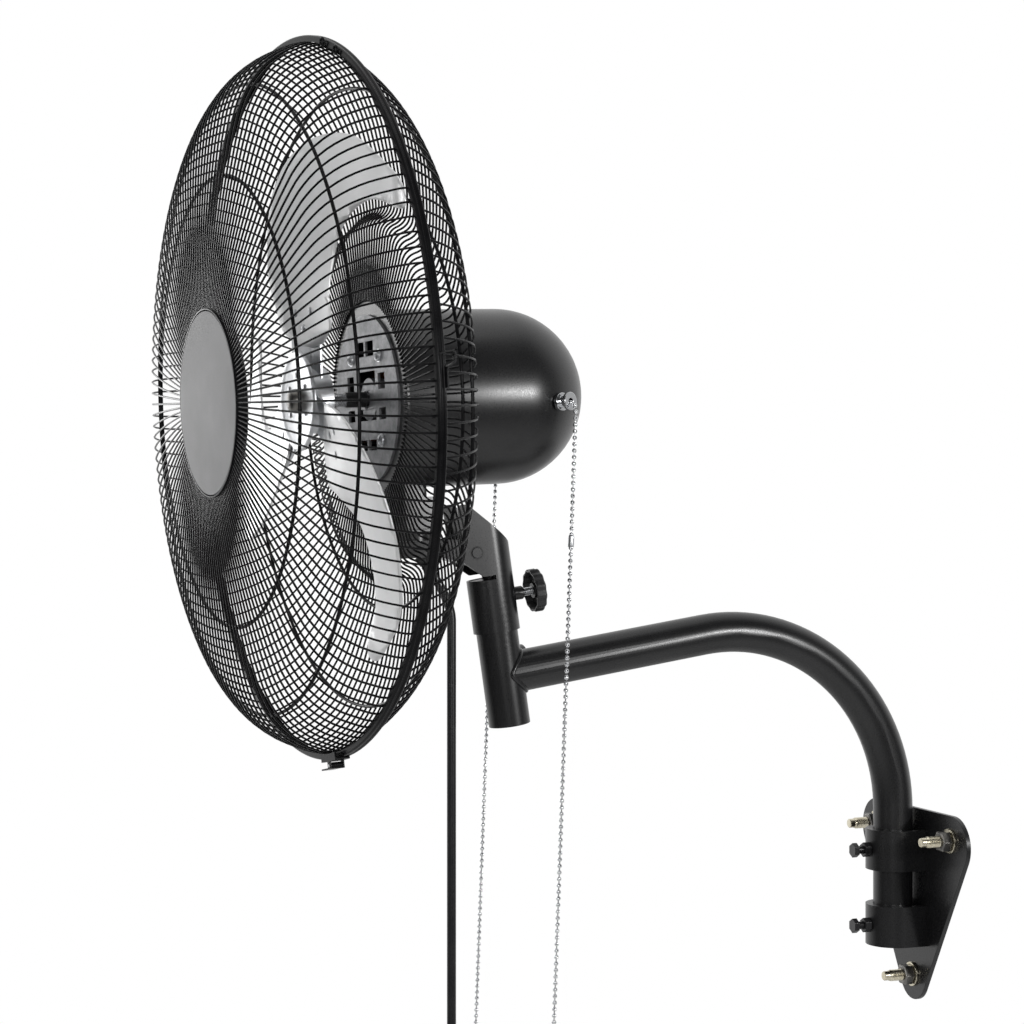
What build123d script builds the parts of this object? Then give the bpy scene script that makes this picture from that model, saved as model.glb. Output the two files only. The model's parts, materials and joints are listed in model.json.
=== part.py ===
from build123d import *
import os
from math import atan2, cos, degrees, pi, radians, sin, tan

# Wall mounted oscillating fan, 24 inch class.  Millimetres, +Z up, the room lies towards -Y.
# The origin is midway between the two upper wall bolts, on the wall face of the plate (Y = 0).

os.makedirs("parts", exist_ok=True)

# ---------------------------------------------------------------- wall plate
plate_t = 5.0
plate_top = 25.0
plate_half_width = 125.7          # half the top edge before its corners are rounded
plate_point = -198.4              # where the sloping sides would meet
plate_corner_r = 30.0
plate_foot_r = 25.0
bolt_pitch = 146.0
lower_hole_drop = 146.6
wall_hole_r = 6.5

# ---------------------------------------------------------------- tubes and their clamps
tube_r = 20.0
tube_wall = 2.0
clamp_gap = 0.3                   # a tube's clearance in a collar, sleeve or yoke
tube_stand_off = 3.0              # between the upright and the wall plate
arm_axis_y = -(plate_t + tube_stand_off + tube_r)
arm_foot = -113.0
arm_bend_r = 184.5
arm_corner_up = 240.7             # where the upright's axis and the sloping run's axis meet
arm_slope = 9.05                  # degrees, the run falls towards the room
bore_chords = 8                   # straight lengths that the bend's bore is made of
bore_sides = 16
collar_wall = 7.5
collar_height = 41.0
collar_tops = (4.4, -72.5)
set_screw_r = 4.0
set_screw_flats = 13.0
set_screw_proud = 19.2            # from the collar's front to the end of the screw's head
nut_flats = 13.0
nut_height = 7.0

# ---------------------------------------------------------------- post and neck
post_y = -445.93                  # centre of the post's open lower end
post_foot_drop = 49.7325          # below the line of the sloping run, at the same Y
post_z = arm_corner_up + (post_y - arm_axis_y) * tan(radians(arm_slope)) - post_foot_drop
post_lean = 8.3                   # degrees, the top leans towards the room
post_len = 138.0
arm_on_post = 49.0                # where the arm's axis meets the post's, up the post
sleeve_start = 91.0               # heights up the post
sleeve_end = 142.0
sleeve_wall = 2.2
floor_t = 3.0
cheek_notch = 4.0
cheek_back_top = 172.0
cheek_top = 216.6
cheek_depth = 30.0                # how far the cheeks reach ahead of the post's axis
cheek_chin = 161.0
stub_len = 31.0
stub_gap = 0.2
stub_back = 14.93                 # its middle, towards the wall from the post's lower end
stub_y = post_y + stub_back
knob_up = 123.6
knob_r = 21.0
knob_start = 37.2                 # distances from the post's axis
knob_depth = 20.5
knob_rim = 3.5
knob_dish = 6.0
knob_flutes = 12
knob_flute_r = 3.0
screw_r = 4.0
boss_r = 6.5
boss_end = 31.5

# ---------------------------------------------------------------- tilt pivot and swivel
pivot_ahead = 41.07               # from the centre of the post's open lower end
pivot_up = 165.3
pivot_y = post_y - pivot_ahead
pivot_z = post_z + pivot_up
pivot_r = 5.0
pivot_hole_r = 6.5
pivot_head_flats = 15.0
pivot_head_t = 5.3
eye_r = 12.5
running_gap = 0.05                # a shaft's radial clearance in its bore
seat_gap = 0.3
rest_tilt = 2.5                   # degrees, the head looks down a little
rest_swing = 4.9                  # degrees, the head looks towards +X a little
swivel_ahead = 55.4               # swivel axis ahead of the tilt pivot
swivel_r = 7.0
base_front = 77.0                 # bracket base, distances ahead of the tilt pivot
base_back = 34.0
base_bottom = -1.7                # heights above the tilt pivot
base_top = 14.0
base_half_width = 24.0
boss_top = 22.0
swivel_boss_r = 17.0
case_front = 21.0                 # gear case, distances from the swivel axis
case_rear = 22.0
case_half_width = 25.0
case_shoulder = 55.0              # height of the low rear part above the tilt pivot
case_high_end = 7.0
pin_reach = 24.0
cover_t = 3.0

# ---------------------------------------------------------------- motor
axis_up = 148.35                  # fan axis above the tilt pivot
ring_ahead = 108.0                # guard joint plane ahead of the swivel
motor_r = 84.0
motor_front = 72.0                # distances back from the guard joint plane
motor_barrel_end = 198.0
motor_wall = 2.5
tail_chords = 6                   # the round tail is turned in this many straight steps
tail_room_r = 69.0                # the many-sided hollow inside the tail
tail_room_len = 42.0
tail_room_sides = 24
flange_r = 70.0
mount_ring_t = 2.8
mount_ring_r = 95.0
mount_ring_bore = 73.0
face_r = 79.0
face_t = 2.5
face_vents = (                    # sideways from, to, heights from, to; each on both sides
    (2.0, 22.0, 40.0, 54.0), (0.0, 24.0, 8.0, 26.0), (31.0, 48.0, 8.0, 23.0),
    (0.0, 24.0, -20.0, -9.0), (31.0, 48.0, -20.0, -9.0), (2.0, 22.0, -48.0, -38.0),
)
seat_floor = 3.0                  # left in front of the front bearing
bearing_r = 16.0
bearing_w = 10.0
bearing_wall = 4.0
rear_plate_y = 192.0
rear_plate_t = 4.0
shaft_r = 6.0
shaft_front = -4.0
shaft_rear = 210.0
air_gap = 0.5
rotor_r = 38.0
stack_front = 106.0
stack_len = 44.0
winding_len = 16.0
winding_inner_r = 41.0
winding_outer_r = 49.0
winding_sides = 24
tie_bolt_r = 2.5
tie_bolt_place = (35.0, 39.0)     # sideways and up from the fan axis
capacitor_r = 14.0
capacitor_len = 36.0
capacitor_up = 44.0
switch_place = 50.0               # from the tail's centre, along the nozzle
switch_size = (20.0, 24.0, 30.0)

# ---------------------------------------------------------------- guards
wire_count = 48
wire = 2.8
weld_gap = 0.05
wire_end_gap = 0.4                # between a wire's end and the ring that it is welded to
hoop_r = 331.0
hoop_width = 10.6
hoop_flange = 6.0
hoop_t = 1.4
rim_r = hoop_r - hoop_flange - wire / 2 - wire_end_gap
front_shoulder = (hoop_r - 22.1, 59.9)    # radius, distance ahead of the joint plane
front_hub = (86.0, 86.3)
front_bend_r = 78.0
front_rings = (298.0, 225.0)
rear_shoulder = (hoop_r - 17.2, 49.5)     # radius, distance behind the joint plane
rear_step = ((175.0, 84.0), (163.0, 69.0))
rear_hub = (93.0, motor_front - mount_ring_t - wire / 2 - wire_end_gap)
rear_bend_r = 60.0
rear_rings = (310.0, 288.0)
bend_chords = 3
badge_r = 83.0
badge_t = 1.5
cup_wall = 1.6
cup_front = front_hub[1] + 1.7
cup_depth = 11.0
cup_lip = 22.0
clip_t = 1.5
clip_span = 6.4                   # degrees of the hoop
clip_places = (4.5, -80.0)
lever_len = 25.0
lever_t = 1.4
lever_pin_r = 1.5
lever_eye_r = 3.0

# ---------------------------------------------------------------- blades
blade_tip_r = 247.0
blade_root_r = 58.0
blade_half_width = 103.0
blade_neck = 32.0
blade_corner_r = 55.0
blade_t = 1.8
blade_pitch = 13.0
blade_camber_r = 290.0
blade_back = 8.0
spider_t = 2.6
spider_reach = 92.0
spider_half_width = 24.0
hub_r = 30.0
hub_front = 0.0
hub_len = 24.0
rivet_r = 2.4
rivet_head_r = 5.0
rivet_head_t = 1.6
rivet_places = ((0, 67), (-13, 82), (13, 82))

# ---------------------------------------------------------------- pull chains and the lead
chain_r = 2.25
chain_bend_r = 5.4
chain_lean = 2.2                  # degrees off plumb, towards the room
chain_room = 0.6                  # round the chain in its nozzle
chain_inset = 2.0                 # where the chain's free length starts inside its nozzle
chain_start = 6.5                 # from the nozzle mouth to the hanging line
near_nozzle_turn = 22.3           # degrees behind the motor's side
far_nozzle_turn = 26.5
nozzle_drop = 9.5
nozzle_r = 8.5
nozzle_neck_r = 5.5
nozzle_len = 14.0
nozzle_ring_t = 4.0
nozzle_bell_t = 3.5
near_chain_end = -150.0
far_chain_end = -190.0
handle_r = 6.5
handle_len = 32.0
lead_d = 8.8
lead_sides = 8
lead_length = 1800.0
relief_ahead = 47.0
relief_len = 24.0
relief_angle = 30.0
relief_r = (7.5, 5.2)
lead_hang_z = -240.0              # the straight lead ends and the hank starts here
hank_pitch = 9.3
hank_outer = 26.0
hank_tail = 45.0
tie_width = 16.0
tie_t = 1.5
plug_len = 38.0


# ---------------------------------------------------------------- helpers
def save(node, *solids):
    shape = solids[0] if len(solids) == 1 else Compound(children=list(solids))
    shape.label = node
    export_step(shape, f"parts/{node}.step")


def rod(radius, start, end):
    """A straight round bar between two points."""
    a, b = Vector(*start), Vector(*end)
    return extrude(Plane(origin=a, z_dir=b - a) * Circle(radius), (b - a).length)


def tube(outer, inner, start, end):
    return rod(outer, start, end) - rod(inner, start, end)


def taper_bar(sides, radius_a, radius_b, start, end):
    """A flat-sided bar that widens or narrows evenly from start to end."""
    a, b = Vector(*start), Vector(*end)
    length = (b - a).length
    slope = degrees(atan2(radius_a - radius_b, length))
    return extrude(Plane(origin=a, z_dir=b - a) * RegularPolygon(radius_a, sides, major_radius=False),
                   length, taper=slope)


def hex_bar(flats, start, end):
    a, b = Vector(*start), Vector(*end)
    profile = RegularPolygon(flats / 2, 6, major_radius=False)
    return extrude(Plane(origin=a, z_dir=b - a) * profile, (b - a).length)


def block(x0, x1, y0, y1, z0, z1):
    return Pos((x0 + x1) / 2, (y0 + y1) / 2, (z0 + z1) / 2) * Box(x1 - x0, y1 - y0, z1 - z0)


def slab(outline, x0, x1):
    """An outline drawn as (y, z), made solid from x0 to x1."""
    face = Plane.YZ.offset(x0) * make_face(outline)
    return extrude(face, x1 - x0, dir=(1, 0, 0))


def turned(points):
    """A closed (radius, y) outline turned about the Y axis."""
    face = make_face(Polyline(*points, close=True))
    return revolve(face, Axis.Y, 360)


def at(frame, x, y, z):
    """A point given in a frame, as the whole model sees it."""
    return (frame * Pos(x, y, z)).position


def heading(frame, x, y, z):
    """A direction given in a frame, as the whole model sees it."""
    return at(frame, x, y, z) - at(frame, 0, 0, 0)


# The neck's own frame: origin at the post's lower end, Z up the post, +Y to the wall.
neck = Pos(0, post_y, post_z) * Rot(post_lean, 0, 0)
# The tilting parts' frame: origin at the tilt pivot.
tilted = Pos(0, pivot_y, pivot_z) * Rot(rest_tilt, 0, 0)
# The head's frame: origin where the fan axis meets the guard joint plane, +Y to the rear.
swung = tilted * Pos(0, -swivel_ahead, 0) * Rot(0, 0, rest_swing)
head = swung * Pos(0, -ring_ahead, axis_up)


# ---------------------------------------------------------------- wall bracket
def wall_plate():
    """A three-cornered plate with rounded corners and a bolt hole in each."""
    outline = FilletPolyline(
        (plate_half_width, plate_top),
        (0, plate_point),
        (-plate_half_width, plate_top),
        radius=[plate_corner_r, plate_foot_r, plate_corner_r],
        close=True,
    )
    body = extrude(Plane.XZ * make_face(outline), plate_t)
    for x, z in ((bolt_pitch / 2, 0), (-bolt_pitch / 2, 0), (0, -lower_hole_drop)):
        body -= rod(wall_hole_r, (x, 1, z), (x, -plate_t - 1, z))
    return body


collar_r = tube_r + clamp_gap
collar_outer_r = collar_r + collar_wall
collar_front_y = arm_axis_y - collar_outer_r
screw_tip_y = arm_axis_y - tube_r - seat_gap
screw_end_y = collar_front_y - set_screw_proud
screw_head_t = 5.3


def u_section(radius, y_back):
    """A half-round front about the upright's axis with straight sides back to y_back."""
    depth = y_back - arm_axis_y
    sides = Pos(0, arm_axis_y + depth / 2) * Rectangle(2 * radius, depth)
    beyond = Pos(0, y_back + radius) * Rectangle(3 * radius, 2 * radius)
    return Pos(0, arm_axis_y) * Circle(radius) + sides - beyond


def clamp_collar(top):
    outer = u_section(collar_outer_r, -plate_t)
    inner = u_section(collar_r, -plate_t)
    body = extrude(Pos(0, 0, top - collar_height) * (outer - inner), collar_height)
    z = top - collar_height / 2
    return body - rod(set_screw_r + running_gap, (0, arm_axis_y, z), (0, collar_front_y - 1, z))


def collar_screw(top):
    z = top - collar_height / 2
    shank = rod(set_screw_r, (0, screw_tip_y, z), (0, screw_end_y + screw_head_t, z))
    return shank + hex_bar(set_screw_flats, (0, screw_end_y + screw_head_t, z), (0, screw_end_y, z))


def collar_nut(top):
    z = top - collar_height / 2
    nut = hex_bar(nut_flats, (0, collar_front_y, z), (0, collar_front_y - nut_height, z))
    return nut - rod(set_screw_r + running_gap, (0, arm_axis_y, z), (0, screw_end_y, z))


save("wall_plate", wall_plate())
save("clamp_collars", *[clamp_collar(top) for top in collar_tops])
save("collar_screws", *[collar_screw(top) for top in collar_tops])
save("collar_nuts", *[collar_nut(top) for top in collar_tops])


# ---------------------------------------------------------------- arm, post and stub
def arm_point(y):
    """A point on the sloping run's axis."""
    return (0, y, arm_corner_up + (y - arm_axis_y) * tan(radians(arm_slope)))


post_foot = at(neck, 0, 0, 0)
post_head = at(neck, 0, 0, post_len)


def arm_tube():
    arm_end = arm_point(at(neck, 0, 0, arm_on_post).Y)
    axis = FilletPolyline(
        (0, arm_axis_y, arm_foot),
        (0, arm_axis_y, arm_corner_up),
        arm_end,
        radius=arm_bend_r,
    )
    foot, run, top = axis.edges()
    bend = [run @ (k / bore_chords) for k in range(bore_chords + 1)]
    bore = Polyline(foot @ 0, *bend, top @ 1)
    start = Plane(origin=axis @ 0, z_dir=axis % 0)
    outside = sweep(start * Circle(tube_r), path=axis)
    section = RegularPolygon(tube_r - tube_wall, bore_sides, major_radius=False)
    inside = sweep(start * section, path=bore, transition=Transition.RIGHT)
    return outside - inside - rod(tube_r, post_foot, post_head)


def post_tube():
    return neck * tube(tube_r, tube_r - tube_wall, (0, 0, 0), (0, 0, post_len))


def post_stub():
    """A short open tube beside the post, parallel to the arm."""
    side = -(2 * tube_r + stub_gap)
    middle = Vector(*arm_point(stub_y))
    along = (Vector(*arm_point(stub_y + 1)) - middle).normalized()
    a = middle - along * (stub_len / 2) + Vector(side, 0, 0)
    b = middle + along * (stub_len / 2) + Vector(side, 0, 0)
    return tube(tube_r, tube_r - tube_wall, a, b)


save("arm_tube", arm_tube())
save("post_tube", post_tube())
save("post_stub", post_stub())


# ---------------------------------------------------------------- neck and its clamp knob
yoke_r = tube_r + clamp_gap
yoke_outer_r = yoke_r + sleeve_wall


def yoke_section(radius):
    """A half-round back with flat cheeks that reach ahead of the post's axis."""
    return Circle(radius) + Pos(0, -cheek_depth / 2) * Rectangle(2 * radius, cheek_depth)


def neck_yoke():
    sleeve = tube(yoke_outer_r, yoke_r, (0, 0, sleeve_start), (0, 0, sleeve_end))
    floor = rod(yoke_r + sleeve_wall / 2, (0, 0, post_len + seat_gap), (0, 0, post_len + seat_gap + floor_t))
    section = yoke_section(yoke_outer_r) - yoke_section(yoke_r)
    section -= Pos(0, -cheek_depth) * Rectangle(2 * yoke_r, 2 * cheek_depth - 2 * yoke_r)
    cheeks = extrude(Pos(0, 0, sleeve_end) * section, cheek_top - sleeve_end)
    back = yoke_outer_r + 1
    side = FilletPolyline(
        (back, sleeve_end),
        (back, cheek_back_top),
        (-cheek_depth + 10, cheek_top),
        (-cheek_depth, cheek_top),
        (-cheek_depth, cheek_chin),
        (-13, sleeve_end + cheek_notch),
        (0, sleeve_end + cheek_notch),
        (0, sleeve_end),
        radius=[0, 0, 8, 4, 3, 3, 0, 0],
        close=True,
    )
    cheeks &= slab(side, -yoke_outer_r - 1, yoke_outer_r + 1)
    body = sleeve + floor + cheeks
    body -= rod(screw_r + running_gap, (0, 0, knob_up), (0, boss_end, knob_up))
    body = neck * body
    return body - rod(pivot_hole_r, (-40, pivot_y, pivot_z), (40, pivot_y, pivot_z))


def knob_boss():
    body = rod(boss_r, (0, tube_r, knob_up), (0, boss_end, knob_up))
    body -= rod(yoke_outer_r, (0, 0, sleeve_start), (0, 0, sleeve_end))
    body -= rod(screw_r + running_gap, (0, 0, knob_up), (0, boss_end + 1, knob_up))
    body = chamfer(body.edges().group_by(Axis.Y)[-1].sort_by(SortBy.LENGTH)[-1:], 1.2)
    return neck * body


def clamp_screw():
    return neck * rod(screw_r, (0, yoke_r, knob_up), (0, knob_start + knob_depth / 2, knob_up))


def clamp_knob():
    """A fluted hand knob, dished on the side that faces the post."""
    end = knob_start + knob_depth
    body = turned([
        (0, knob_start), (7, knob_start), (7, knob_start + knob_dish),
        (knob_r - knob_rim, knob_start + knob_dish), (knob_r - knob_rim, knob_start),
        (knob_r, knob_start), (knob_r, end), (0, end),
    ])
    flute = rod(knob_flute_r, (knob_r + knob_flute_r - 1, knob_start - 1, 0),
                (knob_r + knob_flute_r - 1, end + 1, 0))
    for k in range(knob_flutes):
        body -= Rot(0, k * 360 / knob_flutes, 0) * flute
    body -= rod(screw_r, (0, knob_start, 0), (0, knob_start + knob_depth / 2, 0))
    return neck * (Pos(0, 0, knob_up) * body)


def tilt_bolt():
    """The bolt that the bracket's eye tilts on, its head on the far cheek."""
    reach = yoke_outer_r
    shank = rod(pivot_r, (-reach, pivot_y, pivot_z), (reach + 1, pivot_y, pivot_z))
    head_end = (-reach - pivot_head_t, pivot_y, pivot_z)
    return shank + hex_bar(pivot_head_flats, (-reach, pivot_y, pivot_z), head_end)


def pivot_bushes():
    """Two sleeves that fill the cheek holes round the bolt."""
    near = ((yoke_r, pivot_y, pivot_z), (yoke_outer_r, pivot_y, pivot_z))
    far = ((-yoke_outer_r, pivot_y, pivot_z), (-yoke_r, pivot_y, pivot_z))
    return [tube(pivot_hole_r, pivot_r, *ends) for ends in (near, far)]


save("neck_yoke", neck_yoke())
save("knob_boss", knob_boss())
save("clamp_screw", clamp_screw())
save("clamp_knob", clamp_knob())
save("tilt_bolt", tilt_bolt())
save("pivot_bushes", *pivot_bushes())


# ---------------------------------------------------------------- tilt bracket and swivel pin
tongue_half = yoke_r - seat_gap


def tilt_bracket():
    """An eye on the tilt bolt, a tongue between the cheeks and a base with the swivel boss."""
    eye = rod(eye_r, (-tongue_half, 0, 0), (tongue_half, 0, 0))
    tongue = slab(
        FilletPolyline(
            (0, eye_r), (-base_back - 4, base_top), (-base_back - 4, base_bottom), (0, -eye_r),
            radius=0, close=True,
        ),
        -tongue_half, tongue_half,
    )
    base = block(-base_half_width, base_half_width, -base_front, -base_back, base_bottom, base_top)
    base = fillet(base.edges().filter_by(Axis.Z), 6)
    boss = rod(swivel_boss_r, (0, -swivel_ahead, base_bottom), (0, -swivel_ahead, boss_top))
    body = eye + tongue + base + boss
    body -= rod(pivot_r + running_gap, (-tongue_half - 1, 0, 0), (tongue_half + 1, 0, 0))
    body -= rod(swivel_r, (0, -swivel_ahead, base_bottom - 1), (0, -swivel_ahead, boss_top + 1))
    return tilted * body


def swivel_pin():
    top = boss_top + seat_gap + pin_reach
    return tilted * rod(swivel_r, (0, -swivel_ahead, base_bottom), (0, -swivel_ahead, top))


relief_dir = Vector(0, sin(radians(relief_angle)), -cos(radians(relief_angle)))
relief_root = Vector(0, -relief_ahead, base_bottom)
relief_tip = relief_root + relief_dir * relief_len


def strain_relief():
    """A tapered rubber sleeve where the lead leaves the bracket."""
    root = relief_root - relief_dir * 6
    body = taper_bar(12, relief_r[0], relief_r[1], root, relief_tip)
    body -= block(-20, 20, -base_front, 0, base_bottom, base_top)
    return tilted * body


save("tilt_bracket", tilt_bracket())
save("swivel_pin", swivel_pin())
save("strain_relief", strain_relief())


# ---------------------------------------------------------------- gear case under the motor
case_bottom = boss_top + seat_gap - axis_up       # heights in the head's frame
case_low_top = case_shoulder - axis_up
case_y0 = ring_ahead - case_front
case_y1 = ring_ahead + case_rear


def gear_case():
    """The oscillator's case: a low rear part, and a front part that carries the motor."""
    low = block(-case_half_width, case_half_width, case_y0, case_y1, case_bottom + cover_t, case_low_top)
    high = block(-case_half_width, case_half_width, case_y0, ring_ahead + case_high_end,
                 case_bottom + cover_t, -motor_r / 2)
    body = low + high
    body -= rod(motor_r, (0, motor_front, 0), (0, motor_barrel_end, 0))
    body = fillet(body.edges().filter_by(Axis.Z), 5)
    pin = rod(swivel_r + running_gap, (0, ring_ahead, case_bottom - 1),
              (0, ring_ahead, case_bottom + pin_reach + seat_gap))
    return head * (body - pin)


def case_cover():
    body = block(-case_half_width, case_half_width, case_y0, case_y1, case_bottom, case_bottom + cover_t)
    body = fillet(body.edges().filter_by(Axis.Z), 5)
    return head * (body - rod(swivel_r + running_gap, (0, ring_ahead, case_bottom - 1),
                              (0, ring_ahead, case_bottom + cover_t + 1)))


save("gear_case", gear_case())
save("case_cover", case_cover())


# ---------------------------------------------------------------- motor
def nozzle_frame(side, turn):
    """Z along a chain nozzle, from the centre of the motor's round tail."""
    out = Vector(side * cos(radians(turn)), sin(radians(turn)), 0)
    return Plane(origin=(0, motor_barrel_end, -nozzle_drop), z_dir=out)


nozzles = (nozzle_frame(1, near_nozzle_turn), nozzle_frame(-1, far_nozzle_turn))


def tail_point(radius, turn):
    """A point of the round tail's outline, turned from the side towards the rear."""
    return (radius * cos(radians(turn)), motor_barrel_end + radius * sin(radians(turn)))


def motor_shell():
    """A drawn shell: a barrel with an in-turned front flange and a half-ball tail."""
    inner_r = motor_r - motor_wall
    tail = [tail_point(motor_r, 90 * k / tail_chords) for k in range(tail_chords + 1)]
    body = turned([
        (flange_r, motor_front + motor_wall), (flange_r, motor_front), (motor_r, motor_front),
        *tail, (0, motor_barrel_end), (inner_r, motor_barrel_end), (inner_r, motor_front + motor_wall),
    ])
    section = RegularPolygon(tail_room_r, tail_room_sides)
    body -= extrude(Plane(origin=(0, motor_barrel_end - 1, 0), z_dir=(0, 1, 0)) * section, tail_room_len + 1)
    for frame in nozzles:
        body -= frame * Pos(0, 0, motor_r) * Cylinder(nozzle_neck_r, 44)
    return head * body


face_y = motor_front - mount_ring_t


def motor_face():
    """The front end plate, with its vents and the front bearing's seat behind it."""
    boss_outer = bearing_r + bearing_wall
    seat_end = face_y + seat_floor + bearing_w
    body = tube(face_r, shaft_r + 3, (0, face_y - face_t, 0), (0, face_y + seat_floor, 0))
    body -= tube(face_r + 1, boss_outer, (0, face_y, 0), (0, face_y + seat_floor + 1, 0))
    body += tube(boss_outer, bearing_r, (0, face_y + seat_floor, 0), (0, seat_end, 0))
    for x0, x1, z0, z1 in face_vents:
        for side in (-1, 1):
            near, far = sorted((side * x0, side * x1))
            body -= block(near, far, face_y - face_t - 1, face_y, z0, z1)
    for room in bolt_room(face_y - face_t - 1, face_y + 1):
        body -= room
    return head * body


def rear_plate():
    """The inner end plate that holds the rear bearing."""
    y0, y1 = rear_plate_y, rear_plate_y + rear_plate_t
    body = tube(motor_r - motor_wall, bearing_r, (0, y0, 0), (0, y1, 0))
    body += tube(bearing_r + bearing_wall, bearing_r, (0, y0, 0), (0, y0 + bearing_w, 0))
    for room in bolt_room(y0 - 1, y1 + 1):
        body -= room
    return head * body


def stator_core():
    body = tube(motor_r - motor_wall, rotor_r + air_gap, (0, stack_front, 0), (0, stack_front + stack_len, 0))
    for room in bolt_room(stack_front - 1, stack_front + stack_len + 1):
        body -= room
    return head * body


def stator_windings():
    ends = (stack_front - winding_len, stack_front + stack_len)
    section = RegularPolygon(winding_outer_r, winding_sides) - RegularPolygon(winding_inner_r, winding_sides)
    return [head * extrude(Plane(origin=(0, y, 0), z_dir=(0, 1, 0)) * section, winding_len) for y in ends]


def rotor_core():
    return head * tube(rotor_r, shaft_r, (0, stack_front, 0), (0, stack_front + stack_len, 0))


def motor_shaft():
    return head * rod(shaft_r, (0, shaft_front, 0), (0, shaft_rear, 0))


def bearing(y):
    return head * tube(bearing_r, shaft_r + running_gap, (0, y, 0), (0, y + bearing_w, 0))


def tie_bolt_lines():
    across, up = tie_bolt_place
    return [(x, z) for x in (-across, across) for z in (-up, up)]


def bolt_bar(radius, x, z, y0, y1):
    """An eight-sided bar along the fan axis, for shanks, rivets and their holes."""
    return extrude(Plane(origin=(x, y0, z), z_dir=(0, 1, 0)) * RegularPolygon(radius, 8), y1 - y0)


def bolt_room(y0, y1):
    return [bolt_bar(tie_bolt_r, x, z, y0, y1) for x, z in tie_bolt_lines()]


def tie_bolts():
    """Four long screws that draw the two end plates onto the stator."""
    front = face_y - face_t
    made = []
    for x, z in tie_bolt_lines():
        shank = bolt_bar(tie_bolt_r, x, z, front, rear_plate_y + rear_plate_t)
        made.append(head * (shank + bolt_bar(2 * tie_bolt_r, x, z, front - tie_bolt_r, front)))
    return made


def capacitor():
    y = rear_plate_y + rear_plate_t
    return head * rod(capacitor_r, (0, y, capacitor_up), (0, y + capacitor_len, capacitor_up))


def pull_switch(frame):
    """A switch body behind each nozzle, inside the tail."""
    return head * (frame * Pos(0, 0, switch_place) * Box(*switch_size))


def chain_nozzle(frame):
    """A bell mouth and a ring on a round neck, bored for the chain."""
    root = switch_place + switch_size[2] / 2 + seat_gap
    tip = motor_r + nozzle_len
    neck_part = Pos(0, 0, (root + tip) / 2) * Cylinder(nozzle_neck_r - running_gap, tip - root)
    ring = Pos(0, 0, motor_r + nozzle_ring_t / 2) * Cylinder(nozzle_r, nozzle_ring_t)
    bell = Pos(0, 0, tip - nozzle_bell_t / 2) * Cylinder(nozzle_r, nozzle_bell_t)
    bore = Pos(0, 0, (root + tip) / 2) * Cylinder(chain_r + chain_room, tip - root + 2)
    return head * (frame * (neck_part + ring + bell - bore))


save("motor_shell", motor_shell())
save("motor_face", motor_face())
save("rear_plate", rear_plate())
save("stator_core", stator_core())
save("stator_windings", *stator_windings())
save("rotor_core", rotor_core())
save("motor_shaft", motor_shaft())
save("front_bearing", bearing(face_y + seat_floor))
save("rear_bearing", bearing(rear_plate_y))
save("tie_bolts", *tie_bolts())
save("capacitor", capacitor())
save("pull_switches", *[pull_switch(frame) for frame in nozzles])
save("chain_nozzles", *[chain_nozzle(frame) for frame in nozzles])


# ---------------------------------------------------------------- guards
def guard_path(side, shoulder, bend_r, *inner):
    """A guard wire's axis in the plane of the fan axis, from the hoop over its shoulder to the hub."""
    points = [(0, side * y, r) for r, y in ((rim_r, wire), shoulder, *inner)]
    rounded = FilletPolyline(*points[:3], radius=bend_r)
    laid = [rounded @ 0]
    for edge in rounded.edges():
        steps = bend_chords if edge.geom_type == GeomType.CIRCLE else 1
        laid += [edge @ (k / steps) for k in range(1, steps + 1)]
    return Polyline(*laid, *points[3:])


def guard_wires(path):
    start = Plane(origin=path @ 0, x_dir=(1, 0, 0), z_dir=path % 0)
    one = sweep(start * Rectangle(wire, wire), path=path, transition=Transition.RIGHT)
    return [head * (Rot(0, k * 360 / wire_count, 0) * one) for k in range(wire_count)]


def crossing(path, radius):
    """How far along a guard wire it passes the given radius, from 0 to 1."""
    low, high = 0.0, 1.0
    while high - low > 1e-6:
        middle = (low + high) / 2
        if (path @ middle).Z > radius:
            low = middle
        else:
            high = middle
    return low


def guard_ring(path, radius, side):
    """A ring on the blades' side of the wires, laid straight from wire to wire."""
    u = crossing(path, radius)
    place, along = path @ u, path % u
    inward = Vector(0, along.Z, -along.Y) * side
    seat = wire / 2 * (1 + abs(inward.Y) + abs(inward.Z))
    centre = place + inward * (seat + weld_gap)
    outer = RegularPolygon(centre.Z + wire / 2, wire_count)
    inner = RegularPolygon(centre.Z - wire / 2, wire_count)
    ring = extrude(Plane.XZ.offset(-centre.Y) * (outer - inner), wire / 2, both=True)
    return head * ring


front_path = guard_path(-1, front_shoulder, front_bend_r, front_hub)
rear_path = guard_path(1, rear_shoulder, rear_bend_r, rear_step[0], rear_step[1], rear_hub)


def guard_hoop():
    half = hoop_width / 2
    inner = hoop_r - hoop_flange
    return head * turned([
        (inner, -half), (hoop_r, -half), (hoop_r, half), (inner, half), (inner, half - hoop_t),
        (hoop_r - hoop_t, half - hoop_t), (hoop_r - hoop_t, -half + hoop_t), (inner, -half + hoop_t),
    ])


def mount_ring():
    body = tube(mount_ring_r, mount_ring_bore, (0, face_y, 0), (0, motor_front, 0))
    return head * body


def badge_cup():
    """The cup that the front wires end on; it carries the plain centre disc."""
    outer = front_hub[0] - 0.2
    inner = outer - cup_wall
    back = cup_front - cup_depth
    return head * turned([
        (outer, -cup_front), (outer, -back), (inner - cup_lip, -back), (inner - cup_lip, -back - cup_wall),
        (inner, -back - cup_wall), (inner, -cup_front),
    ])


def badge_disc():
    seat = cup_front - cup_depth + cup_wall
    return head * rod(badge_r, (0, -seat, 0), (0, -seat - badge_t, 0))


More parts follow.
